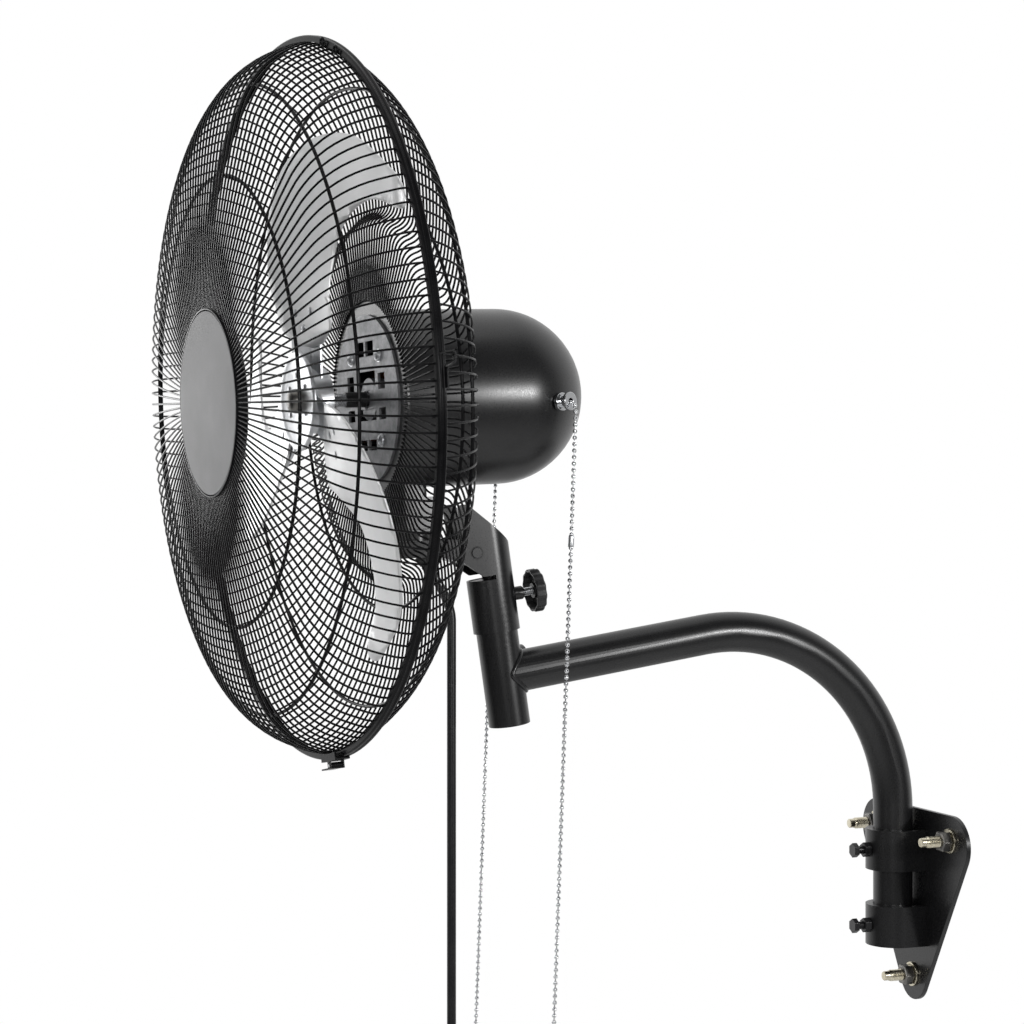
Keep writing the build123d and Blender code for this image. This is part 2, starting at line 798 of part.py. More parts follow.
save("front_guard_wires", *guard_wires(front_path))
save("rear_guard_wires", *guard_wires(rear_path))
save("front_guard_rings", *[guard_ring(front_path, r, -1) for r in front_rings])
save("rear_guard_rings", *[guard_ring(rear_path, r, 1) for r in rear_rings])
save("guard_hoop", guard_hoop())
save("guard_mount_ring", mount_ring())
save("badge_cup", badge_cup())
save("badge_disc", badge_disc())


# ---------------------------------------------------------------- blades and their spider
def sheet(inner_r, thickness):
    """Part of a thin upright cylinder whose hollow side faces the room."""
    centre = (0, blade_back - blade_camber_r, 0)
    wall = tube(inner_r + thickness, inner_r, (0, centre[1], -1), (0, centre[1], blade_tip_r + 5))
    return wall & block(-150, 150, blade_back - 60, blade_back + 20, 0, blade_tip_r + 5)


def blade_plan():
    """A paddle: a narrow root that widens to the round tip."""
    paddle = make_face(FilletPolyline(
        (-blade_neck, blade_root_r), (blade_neck, blade_root_r),
        (blade_half_width, 148), (blade_half_width, blade_tip_r + 30),
        (-blade_half_width, blade_tip_r + 30), (-blade_half_width, 148),
        radius=[6, 6, 30, 0, 0, 30], close=True,
    ))
    plan = paddle & Circle(blade_tip_r)
    tips = plan.vertices().sort_by(Axis.Y)[-2:]
    return fillet(tips, blade_corner_r)


def rivet_holes():
    return [bolt_bar(rivet_r, x, z, -40, 60) for x, z in rivet_places]


pitched = Pos(0, blade_back, 0) * Rot(0, 0, blade_pitch) * Pos(0, -blade_back, 0)


def blade():
    body = extrude(Plane.XZ * blade_plan(), 80, both=True) & sheet(blade_camber_r, blade_t)
    for hole in rivet_holes():
        body -= hole
    return pitched * body


def spider_arm():
    plan = make_face(FilletPolyline(
        (-spider_half_width, 0), (spider_half_width, 0),
        (spider_half_width, spider_reach), (-spider_half_width, spider_reach),
        radius=[0, 0, 12, 12], close=True,
    ))
    arm = extrude(Plane.XZ * plan, 80, both=True) & sheet(blade_camber_r + blade_t, spider_t)
    for hole in rivet_holes():
        arm -= hole
    return pitched * arm


def blade_spider():
    """A hub boss with three arms, each with its blade's twist."""
    body = rod(hub_r, (0, hub_front, 0), (0, hub_front + hub_len, 0))
    for k in range(3):
        body += Rot(0, 120 * k, 0) * spider_arm()
    return head * (body - rod(shaft_r, (0, -20, 0), (0, 60, 0)))


def rivets():
    """Nine flat-headed rivets, three through each blade and its arm."""
    made = []
    for k in range(3):
        for x, z in rivet_places:
            sag = blade_camber_r - (blade_camber_r ** 2 - x ** 2) ** 0.5
            front = blade_back - sag
            back = front + blade_t + spider_t
            shank = bolt_bar(rivet_r, x, z, front - rivet_head_t, back)
            front_head = bolt_bar(rivet_head_r, x, z, front - rivet_head_t, front + blade_t / 2)
            front_head -= sheet(blade_camber_r, blade_t)
            made.append(head * (Rot(0, 120 * k, 0) * (pitched * (shank + front_head))))
    return made


save("blade_spider", blade_spider())
for number in range(3):
    save(f"blade_{number + 1}", head * (Rot(0, 120 * number, 0) * blade()))
save("blade_rivets", *rivets())


# ---------------------------------------------------------------- pull chains
def chain(frame, end_z):
    """A chain out of its nozzle's bore and down under its own weight, with its handle."""
    start = at(head, *frame.from_local_coords((0, 0, motor_r + chain_inset)))
    corner = at(head, *frame.from_local_coords((0, 0, motor_r + nozzle_len + chain_start)))
    hang = Vector(0, -tan(radians(chain_lean)), -1)
    end = corner + hang * (corner.Z - end_z)
    path = FilletPolyline(start, corner, end, radius=chain_bend_r)
    section = RegularPolygon(chain_r, 6)
    body = sweep(Plane(origin=path @ 0, z_dir=path % 0) * section, path=path)
    grip = taper_bar(10, handle_r * 0.6, handle_r, end, end + hang * handle_len)
    print("chain length", round(path.length, 1))
    return body, grip


near_chain, near_handle = chain(nozzles[0], near_chain_end)
far_chain, far_handle = chain(nozzles[1], far_chain_end)
save("near_chain", near_chain)
save("near_chain_handle", near_handle)
save("far_chain", far_chain)
save("far_chain_handle", far_handle)


# ---------------------------------------------------------------- power lead
lead_r = lead_d / 2
lead_exit = at(tilted, *(relief_tip + relief_dir * 0.2))
lead_out = heading(tilted, *relief_dir)
lead_corner = lead_exit + lead_out * 30
lead_points = [lead_exit, lead_corner, (0, lead_corner.Y, lead_hang_z)]
lead_turn = lead_out.get_angle(Vector(0, 0, -1))
lead_bend_r = 0.45 * 30 / tan(radians(lead_turn / 2))
print("lead bend radius", round(lead_bend_r, 1))


def tube_along(path):
    section = RegularPolygon(lead_r, lead_sides)
    start = Plane(origin=path @ 0, x_dir=(1, 0, 0), z_dir=path % 0)
    return sweep(start * section, path=path)


lead_path = FilletPolyline(*lead_points, radius=lead_bend_r)
save("power_lead", tube_along(lead_path))

# The rest of the lead is a tied hank: it spirals in, climbs to the next layer along
# one run, and spirals out again.
half_pitch = hank_pitch / 2
run_x = [hank_outer - half_pitch * min(k, 6 - k) for k in range(7)]
turn_r = [(run_x[k] + run_x[k + 1]) / 2 for k in range(6)]
climb = 3
run_len = (lead_length - lead_path.length - pi * sum(turn_r) - hank_tail) / 7
hank_top = lead_hang_z
hank_foot = lead_hang_z - run_len
hank_y = lead_corner.Y


def hank_path():
    pieces = []
    for k in range(7):
        side = 1 if k % 2 == 0 else -1
        x = side * run_x[k] - hank_outer
        start, end = (hank_top, hank_foot) if side > 0 else (hank_foot, hank_top)
        y0 = hank_y - hank_pitch * (k > climb)
        y1 = hank_y - hank_pitch * (k >= climb)
        if k == climb:
            ease = (end - start) * 0.2
            pieces.append(FilletPolyline(
                (x, y0, start), (x, y0, start + ease), (x, y1, end - ease), (x, y1, end),
                radius=hank_outer * 3,
            ))
        elif k == 6:
            pieces.append(Line((x, y0, start), (x, y0, end - hank_tail)))
        else:
            pieces.append(Line((x, y0, start), (x, y0, end)))
        if k < 6:
            middle = side * (run_x[k] - run_x[k + 1]) / 2 - hank_outer
            far = -side * run_x[k + 1] - hank_outer
            pieces.append(ThreePointArc((x, y1, end), (middle, y1, end - side * turn_r[k]), (far, y1, end)))
    return Wire([edge for piece in pieces for edge in piece.edges()])


hank = hank_path()
samples = [hank @ (k / 600) for k in range(601)]
spacing = hank.length / 600
apart = int(3 * lead_d / spacing)
least = min((samples[i] - samples[j]).length for i in range(601) for j in range(i + apart, 601))
print("lead length", round(lead_path.length + hank.length, 1), "hank gap", round(least - lead_d, 2))
save("lead_hank", tube_along(hank))


def hank_tie():
    """A strap round the middle of the hank."""
    room = lead_r + 0.3
    x0, x1 = -run_x[1] - hank_outer - room, room
    y0, y1 = hank_y - hank_pitch - room, hank_y + room
    middle = Pos((x0 + x1) / 2, (y0 + y1) / 2, (hank_top + hank_foot) / 2 - tie_width / 2)
    inner = RectangleRounded(x1 - x0, y1 - y0, lead_r)
    outer = RectangleRounded(x1 - x0 + 2 * tie_t, y1 - y0 + 2 * tie_t, lead_r + tie_t)
    return extrude(middle * (outer - inner), tie_width)


plug_y = hank_y - hank_pitch
plug_top = hank_foot - hank_tail


def plug_body():
    """A moulded plug: a neck that widens to a flat-sided grip."""
    grip_top = plug_top - plug_len * 0.4
    neck_part = taper_bar(8, lead_r + 1.6, 7.5, (0, plug_y, plug_top), (0, plug_y, grip_top))
    outline = chamfer(Rectangle(27, 21).vertices(), 4)
    grip = extrude(Pos(0, plug_y, plug_top - plug_len) * outline, plug_len * 0.6, taper=8)
    return neck_part + grip


def plug_pins():
    z = plug_top - plug_len
    blades = [block(x - 0.75, x + 0.75, plug_y - 0.8, plug_y + 5.5, z - 17, z) for x in (-6.35, 6.35)]
    return blades + [rod(2.4, (0, plug_y - 6, z), (0, plug_y - 6, z - 19))]


save("hank_tie", hank_tie())
save("plug_body", plug_body())
save("plug_pins", *plug_pins())


# ---------------------------------------------------------------- clips on the hoop
clip_gap = 0.3
clip_in = hoop_r + clip_gap
clip_half = hoop_width / 2 + clip_gap


def guard_clip(angle):
    """A sprung channel that holds the hoop shut over the two guards."""
    foot = hoop_r - hoop_flange + 0.6
    out = clip_in + clip_t
    half = clip_half + clip_t
    profile = make_face(Polyline(
        (foot, -half), (out, -half), (out, half), (foot, half), (foot, clip_half),
        (clip_in, clip_half), (clip_in, -clip_half), (foot, -clip_half), close=True,
    ))
    body = revolve(profile, Axis.Y, clip_span)
    return Rot(0, -angle - clip_span / 2, 0) * body


lever_frame = head * Rot(0, -clip_places[1], 0) * Pos(clip_in + clip_t + lever_eye_r + 0.6, 0, 0)


def clips():
    near, low = [head * guard_clip(angle) for angle in clip_places]
    ears = [block(-lever_eye_r - 3, lever_eye_r, y0, y0 + clip_t, -lever_eye_r, lever_eye_r)
            for y0 in (clip_half, -clip_half - clip_t)]
    for ear in ears:
        low += lever_frame * ear
    low -= lever_frame * rod(lever_pin_r, (0, -20, 0), (0, 20, 0))
    return near, low


def clip_lever():
    """A flat lever with a rolled eye, lying along the clip."""
    half = hoop_width / 2
    eye = rod(lever_eye_r, (0, -half, 0), (0, half, 0))
    blade = block(lever_eye_r - lever_t, lever_eye_r, -half, half, -lever_len, 0)
    return lever_frame * (eye + blade - rod(lever_pin_r + running_gap, (0, -20, 0), (0, 20, 0)))


def lever_pin():
    half = clip_half + clip_t
    return lever_frame * rod(lever_pin_r, (0, -half, 0), (0, half, 0))


save("guard_clips", *clips())
save("clip_lever", clip_lever())
save("lever_pin", lever_pin())
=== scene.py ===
import json
from math import atan2, cos, pi, radians, sin, tan

import bmesh
import bpy
from mathutils import Matrix, Vector


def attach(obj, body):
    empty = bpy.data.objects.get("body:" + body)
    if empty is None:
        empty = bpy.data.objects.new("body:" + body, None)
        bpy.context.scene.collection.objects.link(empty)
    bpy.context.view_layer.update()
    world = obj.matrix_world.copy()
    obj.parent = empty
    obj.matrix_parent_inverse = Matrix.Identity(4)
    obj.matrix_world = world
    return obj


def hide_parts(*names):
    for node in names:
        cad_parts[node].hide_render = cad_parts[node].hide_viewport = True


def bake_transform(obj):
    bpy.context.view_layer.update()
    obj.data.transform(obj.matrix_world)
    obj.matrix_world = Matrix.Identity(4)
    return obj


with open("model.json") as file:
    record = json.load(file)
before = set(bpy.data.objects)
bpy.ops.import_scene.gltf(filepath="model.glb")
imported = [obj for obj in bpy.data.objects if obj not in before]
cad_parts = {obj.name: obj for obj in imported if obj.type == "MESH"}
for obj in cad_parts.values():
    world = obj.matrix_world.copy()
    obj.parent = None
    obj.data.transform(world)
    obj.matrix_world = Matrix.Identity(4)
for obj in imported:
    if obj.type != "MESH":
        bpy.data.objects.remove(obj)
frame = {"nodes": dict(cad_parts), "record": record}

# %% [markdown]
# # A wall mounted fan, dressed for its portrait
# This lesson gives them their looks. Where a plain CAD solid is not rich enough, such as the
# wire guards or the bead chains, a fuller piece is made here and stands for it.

MM = 0.001
scene = bpy.context.scene
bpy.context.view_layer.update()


def mm(x, y, z):
    """A point given in millimetres."""
    return Vector((x, y, z)) * MM


def placed(x, y, z):
    return Matrix.Translation(mm(x, y, z))


def turned(degrees, axis):
    return Matrix.Rotation(radians(degrees), 4, axis)


# %% [markdown]
# ## Three frames to work in
# The fan is a chain of clamps and pivots, so hardly anything on it lies square to the wall.
# Each piece could be drawn straight in its leaning place, but every number would then be odd.
# It is much easier to shape a piece in its own straight frame and to put it in place at the
# end.  `neck` stands on the post, `tilted` on the tilt bolt, and `head` where the fan's axis
# crosses the joint of the two guards, with +Y to the rear.  The post and the bolt are pivots,
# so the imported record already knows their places, and the head is measured on from the bolt.

# %% The frames
post_lean, tilt_at_rest, swing_at_rest = 8.3, 2.5, 4.9      # degrees
swivel_ahead, guards_ahead, axis_above = 55.4, 108, 148.35


def in_mm(place):
    """A place that the record gives in metres, in millimetres."""
    return [x / MM for x in place]


pivots = {joint["name"]: joint.get("pos_m") for joint in frame["record"]["behaviour"]["joints"]}
post_foot, tilt_bolt = in_mm(pivots["neck_turn"]), in_mm(pivots["head_tilt"])
neck = placed(*post_foot) @ turned(post_lean, "X")
tilted = placed(*tilt_bolt) @ turned(tilt_at_rest, "X")
swung = tilted @ placed(0, -swivel_ahead, 0) @ turned(swing_at_rest, "Z")
head = swung @ placed(0, -guards_ahead, axis_above)
fan_axis = head @ turned(-90, "X")      # Z runs along the fan's axis, to the rear
print("guard centre:", [round(x, 4) for x in head.translation])
print("fan axis:", [round(x, 3) for x in fan_axis.to_3x3() @ Vector((0, 0, 1))])

# %% [markdown]
# ## The camera
# The photograph was taken level, from the fan's front and right.  A wide lens from close by
# would swell the near side of the guard; here it is hardly larger than the far side, so the
# lens is long and stands well back.  Lens and place were found by matching the arm, the guard
# and the wall plate.

# %% The camera
lens_length = 77.344
camera_place = (1.9863, -1.1665, 0.3284)
camera_heading = 70         # degrees, and exactly level

camera = bpy.data.objects.new("camera", bpy.data.cameras.new("camera"))
camera.data.lens = lens_length
camera.data.clip_end = 100
camera.location = camera_place
camera.rotation_euler = (radians(90), 0, radians(camera_heading))
scene.collection.objects.link(camera)
scene.camera = camera
print("lens", round(camera.data.lens, 1), "mm")

# %% [markdown]
# ## A first finish
# Nothing real is one even colour.  A picture could be wrapped round each piece, but it would
# need unwrapping and would blur close by.  So a finish here is a Principled surface whose
# colour and roughness drift a little, with a fine grain for its skin, all from noise.  The
# noise reads Object coordinates, so the grain stays on the piece when a joint moves.


# %% Noise for a finish
def grain(nodes, links, scale, detail=3.0, stretch=(1, 1, 1)):
    """Noise on Object coordinates; scale is in features per metre."""
    where = nodes.new("ShaderNodeTexCoord")
    mapping = nodes.new("ShaderNodeMapping")
    mapping.inputs["Scale"].default_value = stretch
    noise = nodes.new("ShaderNodeTexNoise")
    noise.inputs["Scale"].default_value = scale
    noise.inputs["Detail"].default_value = detail
    links.new(where.outputs["Object"], mapping.inputs["Vector"])
    links.new(mapping.outputs["Vector"], noise.inputs["Vector"])
    return noise.outputs["Fac"]


def spread(nodes, links, source, low, high):
    """Most of a noise lies from 0.3 to 0.7; this stretches that part from low to high."""
    ranged = nodes.new("ShaderNodeMapRange")
    ranged.inputs["From Min"].default_value = 0.3
    ranged.inputs["From Max"].default_value = 0.7
    ranged.inputs["To Min"].default_value = low
    ranged.inputs["To Max"].default_value = high
    links.new(source, ranged.inputs["Value"])
    return ranged.outputs["Result"]


# %% A finish from two colours, two roughnesses and a grain
def finish_of(name, dark, light, rough, metallic=0.0, specular=0.5, patches=25, bumps=900,
              depth=0.02, stretch=(1, 1, 1)):
    """A finish between two colours and two roughnesses, with a fine bump of depth mm."""
    made = bpy.data.materials.new(name)
    made.use_nodes = True
    nodes, links = made.node_tree.nodes, made.node_tree.links
    surface = nodes["Principled BSDF"]
    surface.inputs["Metallic"].default_value = metallic
    surface.inputs["Specular IOR Level"].default_value = specular
    colours = nodes.new("ShaderNodeMix")
    colours.data_type = "RGBA"
    colours.inputs["A"].default_value = (*dark, 1)
    colours.inputs["B"].default_value = (*light, 1)
    patch = grain(nodes, links, patches, stretch=stretch)
    links.new(spread(nodes, links, patch, 0, 1), colours.inputs["Factor"])
    links.new(colours.outputs["Result"], surface.inputs["Base Color"])
    fine = grain(nodes, links, bumps, detail=2.0, stretch=stretch)
    links.new(spread(nodes, links, fine, *rough), surface.inputs["Roughness"])
    bump = nodes.new("ShaderNodeBump")
    bump.inputs["Strength"].default_value = 1.0
    bump.inputs["Distance"].default_value = depth * MM
    links.new(fine, bump.inputs["Height"])
    links.new(bump.outputs["Normal"], surface.inputs["Normal"])
    return made


# %% The lead's finishes
lead_sheath = finish_of("lead_sheath", (0.005, 0.005, 0.006), (0.01, 0.01, 0.011), (0.24, 0.34),
                        patches=40, bumps=1500, depth=0.01)
brass = finish_of("brass", (0.6, 0.43, 0.16), (0.74, 0.56, 0.27), (0.18, 0.32),
                  metallic=1.0, patches=90, bumps=900, depth=0.005)
soft_rubber = finish_of("soft_rubber", (0.008, 0.008, 0.008), (0.02, 0.02, 0.02), (0.55, 0.7),
                        patches=60, bumps=2200, depth=0.03)
print("finishes:", len(bpy.data.materials))

# %% [markdown]
# ## Dressed pieces
# Pressed and cast parts keep their exact CAD shape, but a real edge is never razor sharp and
# catches a thin line of light.  The edges could be rounded one by one in CAD, which makes
# heavy files, so `dressed` copies a CAD node, merges its loose triangles and lets a Bevel
# modifier round every edge that is sharper than 35 degrees.  The copy stands for the node.


# %% Naming, shading and mounting a piece
def shown(name, mesh, material):
    """Puts a mesh in the scene as a named piece with one finish."""
    piece = bpy.data.objects.new(name, mesh)
    scene.collection.objects.link(piece)
    mesh.materials.clear()
    mesh.materials.append(material)
    return piece


sharp_edge = 35         # degrees


def smooth(mesh, sharp=sharp_edge):
    """Shades a mesh as smooth, but for edges that turn by more than sharp degrees."""
    for face in mesh.polygons:
        face.use_smooth = True
    mesh.set_sharp_from_angle(angle=radians(sharp))
    return mesh


def mounted(name, mesh, material, body, *nodes):
    """Names a piece, gives it its finish and its body, and says which CAD nodes it stands for."""
    piece = shown(name, mesh, material)
    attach(piece, body)
    if nodes:
        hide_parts(*nodes)
    return piece


# %% Rounded CAD parts
def settled(work, name):
    """The plain mesh of a worked shape, with the work put away."""
    mesh = bpy.data.meshes.new(name)
    work.to_mesh(mesh)
    work.free()
    return mesh


def rounded(piece, edge):
    """Rounds a piece's sharp edges by edge mm."""
    rounding = piece.modifiers.new("rounding", "BEVEL")
    rounding.width = edge * MM
    rounding.segments = 2
    rounding.limit_method = "ANGLE"
    rounding.angle_limit = radians(sharp_edge)
    rounding.harden_normals = True
    return piece


bodies = frame["record"]["behaviour"]["bodies"]
body_of_node = {node: body for body, nodes in bodies.items() for node in nodes}


def dressed(node, material, edge):
    """A CAD node's shape with its edges rounded by edge mm."""
    work = bmesh.new()
    work.from_mesh(frame["nodes"][node].data)
    bmesh.ops.remove_doubles(work, verts=work.verts, dist=0.004 * MM)
    bmesh.ops.dissolve_limit(work, angle_limit=radians(1), verts=work.verts, edges=work.edges)
    name = node + "_rounded"
    mesh = smooth(settled(work, name))
    return rounded(mounted(name, mesh, material, body_of_node[node], node), edge)


# %% [markdown]
# ## The power lead
# A round black mains lead leaves the tilting bracket through a rubber strain relief, curls
# over, and hangs straight down out of the picture.  The 1.4 m or so that nobody sees is kept
# as it would be in its box: a flat tied hank with its plug.  A lead could be many short tubes,
# but a real one is a single smooth curve, so it is a NURBS spline through a few chosen points.
# It is made a plain mesh at the end.


# %% A spline from a route, and a tube round it
def route_curve(name, points, radius=0.0, sides=4):
    """A NURBS curve on chosen points, with a round section if radius is given."""
    curve = bpy.data.curves.new(name, "CURVE")
    curve.dimensions = "3D"
    curve.resolution_u = 6
    spline = curve.splines.new("NURBS")
    spline.points.add(len(points) - 1)
    for point, place in zip(spline.points, points):
        point.co = (*place, 1)
    spline.order_u = 3
    spline.use_endpoint_u = True
    curve.bevel_depth = radius
    curve.bevel_resolution = sides
    curve.use_fill_caps = radius > 0
    return curve


def worked_out(piece):
    """The plain mesh of an object, once its curve or its modifiers are worked out."""
    graph = bpy.context.evaluated_depsgraph_get()
    return bpy.data.meshes.new_from_object(piece.evaluated_get(graph), depsgraph=graph)


def plain_mesh(name, data):
    """A curve as a plain mesh."""
    holder = bpy.data.objects.new(name, data)
    scene.collection.objects.link(holder)
    mesh = worked_out(holder)
    bpy.data.objects.remove(holder)
    mesh.name = name
    return mesh


def walk(name, points):
    """The route's own line, as points close together."""
    return [v.co.copy() for v in plain_mesh(name, route_curve(name, points)).vertices]


def length_of(line):
    """How long a line of close points is, in metres."""
    return sum((b - a).length for a, b in zip(line, line[1:]))


# %% The lead's route, from the bracket to the hank
lead_thick = 8.8
relief_turn = radians(30)
relief_root = Vector((0, -47, -1.7))
relief_way = Vector((0, sin(relief_turn), -cos(relief_turn)))
relief_length, lead_curl = 24.2, 30
drop_foot, hank_top, plug_drop = -200, -240, 45.0
lead_exit = tilted @ ((relief_root + relief_way * relief_length) * MM)
lead_corner = lead_exit + tilted.to_3x3() @ relief_way * lead_curl * MM
lead_route = [
    lead_exit,
    lead_corner,
    lead_corner + mm(0, 0, -lead_curl),
    Vector((0, lead_corner.y, drop_foot * MM)),
]
print("lead leaves at", [round(x, 4) for x in lead_exit])

# %% The hank: seven upright runs, laid in two layers, and a tail to the plug
hank_runs, hank_pitch, hank_outer, hank_height = 7, 9.3, 26.0, 126.7
climbing_run, climb_share = 3, 0.3      # where the lead climbs from the first layer to the second
hank_front = lead_corner.y / MM
hank_foot = hank_top - hank_height
run_x = [hank_outer - hank_pitch / 2 * min(k, hank_runs - 1 - k) for k in range(hank_runs)]
for k in range(hank_runs):
    side = 1 if k % 2 == 0 else -1
    x = side * run_x[k] - hank_outer
    start, end = (hank_top, hank_foot) if side > 0 else (hank_foot, hank_top)
    layer = hank_front - hank_pitch * (k >= climbing_run)
    if k == climbing_run:
        climb = (end - start) * climb_share
        lead_route += [mm(x, hank_front, start + climb), mm(x, layer, end - climb)]
    if k == hank_runs - 1:
        lead_route.append(mm(x, layer, end - plug_drop))
        continue
    turn_r = (run_x[k] + run_x[k + 1]) / 2
    over = x - side * 2 * turn_r
    lead_route += [
        mm(x, layer, end + side * turn_r), mm(x, layer, end - side * turn_r),
        mm(over, layer, end - side * turn_r), mm(over, layer, end + side * turn_r),
    ]
print("points on the lead's route:", len(lead_route))

# %% The lead as a tube
lead_line = walk("lead_line", lead_route)
lead_mesh = plain_mesh("power_lead_tube", route_curve("lead_tube", lead_route, lead_thick / 2 * MM, 5))
for face in lead_mesh.polygons:
    face.use_smooth = True
lead = shown("power_lead_sheath", lead_mesh, lead_sheath)
print("lead length", round(length_of(lead_line), 3), "m, triangles", 2 * len(lead_mesh.polygons))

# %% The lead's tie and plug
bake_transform(lead)
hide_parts("power_lead", "lead_hank")
on_lead = [dressed("hank_tie", soft_rubber, 0.5), dressed("plug_body", soft_rubber, 1.2),
           dressed("plug_pins", brass, 0.25)]
print("on the lead:", [piece.name for piece in on_lead])

# %% [markdown]
# ## Coats and plastics
# Nearly everything is steel in black powder coat, which has a fine orange-peel skin and dulls
# what it mirrors.  The guard wires are dip coated, so they are smoother but catch less light.
# Pure black would lose every edge, so each black is a very dark grey.

# %% The coats and plastics
black_coat = finish_of("black_coat", (0.004, 0.004, 0.0045), (0.008, 0.008, 0.0085), (0.26, 0.36),
                       specular=0.5, patches=18, bumps=1100, depth=0.012)
wire_coat = finish_of("wire_coat", (0.003, 0.003, 0.0035), (0.007, 0.007, 0.0075), (0.2, 0.3),
                      specular=0.07, patches=60, bumps=1500, depth=0.01)
black_plastic = finish_of("black_plastic", (0.008, 0.008, 0.009), (0.014, 0.014, 0.015),
                          (0.4, 0.52), patches=30, bumps=1800, depth=0.02)
grey_paint = finish_of("grey_paint", (0.16, 0.16, 0.162), (0.215, 0.215, 0.218), (0.5, 0.6),
                       metallic=0.05, specular=0.3, patches=14, bumps=1300, depth=0.008)
pale_plastic = finish_of("pale_plastic", (0.55, 0.54, 0.5), (0.64, 0.63, 0.59), (0.35, 0.5),
                         patches=30, bumps=1300, depth=0.01)
print("finishes:", len(bpy.data.materials))

# %% [markdown]
# ## Bare and plated metals
# The blades are bare aluminium rolled in one direction, and the shaft is ground round, so
# their grain is a noise stretched along one axis.  The wall anchors are yellow zinc, which
# drifts from straw to grey.  Plated and chromed steel differ mostly in how rough they are.

# %% The metals
aluminium = finish_of("rolled_aluminium", (0.78, 0.785, 0.79), (0.92, 0.92, 0.925), (0.36, 0.5),
                      metallic=0.85, patches=12, bumps=300, depth=0.01, stretch=(1, 1, 0.12))
plated_steel = finish_of("plated_steel", (0.5, 0.51, 0.53), (0.66, 0.67, 0.68), (0.28, 0.42),
                         metallic=1.0, patches=50, bumps=900, depth=0.01)
cast_metal = finish_of("cast_metal", (0.16, 0.165, 0.17), (0.3, 0.3, 0.31), (0.42, 0.6),
                       metallic=0.7, patches=90, bumps=500, depth=0.12)
bright_steel = finish_of("bright_steel", (0.62, 0.63, 0.65), (0.74, 0.75, 0.76), (0.12, 0.24),
                         metallic=1.0, patches=40, bumps=1500, depth=0.004, stretch=(1, 0.1, 1))
chrome = finish_of("chrome", (0.68, 0.69, 0.71), (0.78, 0.79, 0.8), (0.06, 0.14),
                   metallic=1.0, patches=80, bumps=600, depth=0.002)
gold_zinc = finish_of("gold_zinc", (0.55, 0.5, 0.38), (0.72, 0.68, 0.55), (0.2, 0.36),
                      metallic=1.0, patches=140, bumps=900, depth=0.01)
dark_zinc = finish_of("dark_zinc", (0.1, 0.1, 0.1), (0.27, 0.26, 0.24), (0.3, 0.45),
                      metallic=1.0, patches=120, bumps=900, depth=0.01)
copper = finish_of("enamelled_copper", (0.38, 0.11, 0.035), (0.6, 0.22, 0.08), (0.25, 0.4),
                   metallic=1.0, patches=160, bumps=1400, depth=0.15, stretch=(1, 0.15, 1))
core_steel = finish_of("core_steel", (0.1, 0.1, 0.105), (0.24, 0.24, 0.25), (0.4, 0.55),
                       metallic=0.9, patches=900, bumps=1500, depth=0.05, stretch=(0.05, 1, 0.05))
print("finishes:", len(bpy.data.materials))

# %% [markdown]
# ## Geometry Nodes that repeat and follow
# A guard has about 150 equal wires, a pull chain 100 equal balls.  Copying them one by one in
# Python would hide the rule, so small node trees state it: a section follows a line, and the
# result is set round an axis.  `Tree` saves writing: it makes a node, fills its inputs and
# joins them.  `grown` fills in a tree's named inputs, takes the finished mesh and throws the
# modifier away, so that only plain geometry is left.


# %% A kit for node trees
class Tree:
    """A Geometry Nodes tree with named inputs and one geometry output."""

    def __init__(self, name, *inputs):
        self.group = bpy.data.node_groups.new(name, "GeometryNodeTree")
        for title, kind in inputs:
            self.group.interface.new_socket(title, in_out="INPUT", socket_type="NodeSocket" + kind)
        self.group.interface.new_socket("Geometry", in_out="OUTPUT", socket_type="NodeSocketGeometry")
        self.given = self.node("NodeGroupInput")

    def node(self, kind, settings=(), **inputs):
        made = self.group.nodes.new(kind)
        for key, value in dict(settings).items():
            setattr(made, key, value)
        for key, value in inputs.items():
            self.feed(made.inputs[key.replace("_", " ")], value)
        return made

    def feed(self, socket, value):
        """Joins a socket to an input's name, to another socket or to a plain value."""
        if isinstance(value, str):
            value = self.given.outputs[value]
        if isinstance(value, bpy.types.NodeSocket):
            self.group.links.new(value, socket)
        else:
            socket.default_value = value

    def finish(self, geometry):
        real = self.node("GeometryNodeRealizeInstances", Geometry=geometry)
        soft = self.node("GeometryNodeSetShadeSmooth", Geometry=real.outputs[0])
        last = self.node("GeometryNodeSetMaterial", Geometry=soft.outputs[0], Material="Finish")
        self.feed(self.node("NodeGroupOutput").inputs[0], last.outputs[0])
        print("tree:", self.group.name, len(self.group.nodes), "nodes")


# %% Growing a tree into a plain mesh
def grown(tree, place, values):
    """The plain mesh that a tree makes of its named values, put in place."""
    host = bpy.data.objects.new("host", bpy.data.meshes.new("host"))
    scene.collection.objects.link(host)
    modifier = host.modifiers.new("grow", "NODES")
    modifier.node_group = tree.group
    for item in tree.group.interface.items_tree:
        if item.in_out == "INPUT":
            modifier[item.identifier] = values[item.name]
    mesh = worked_out(host)
    host.modifiers.clear()
    bpy.data.objects.remove(host)
    mesh.transform(place)
    return mesh


def drawn(name, points, closed=False, steps=3):
    """A smooth line through (radius, height) points in mm, to guide a tree; it isn't shown."""
    curve = bpy.data.curves.new(name, "CURVE")
    curve.dimensions = "3D"
    curve.resolution_u = steps
    spline = curve.splines.new("BEZIER")
    spline.bezier_points.add(len(points) - 1)
    for knot, (radius, height) in zip(spline.bezier_points, points):
        knot.co = mm(radius, 0, height)
        knot.handle_left_type = knot.handle_right_type = "AUTO"
    spline.use_cyclic_u = closed
    return bpy.data.objects.new(name, curve)


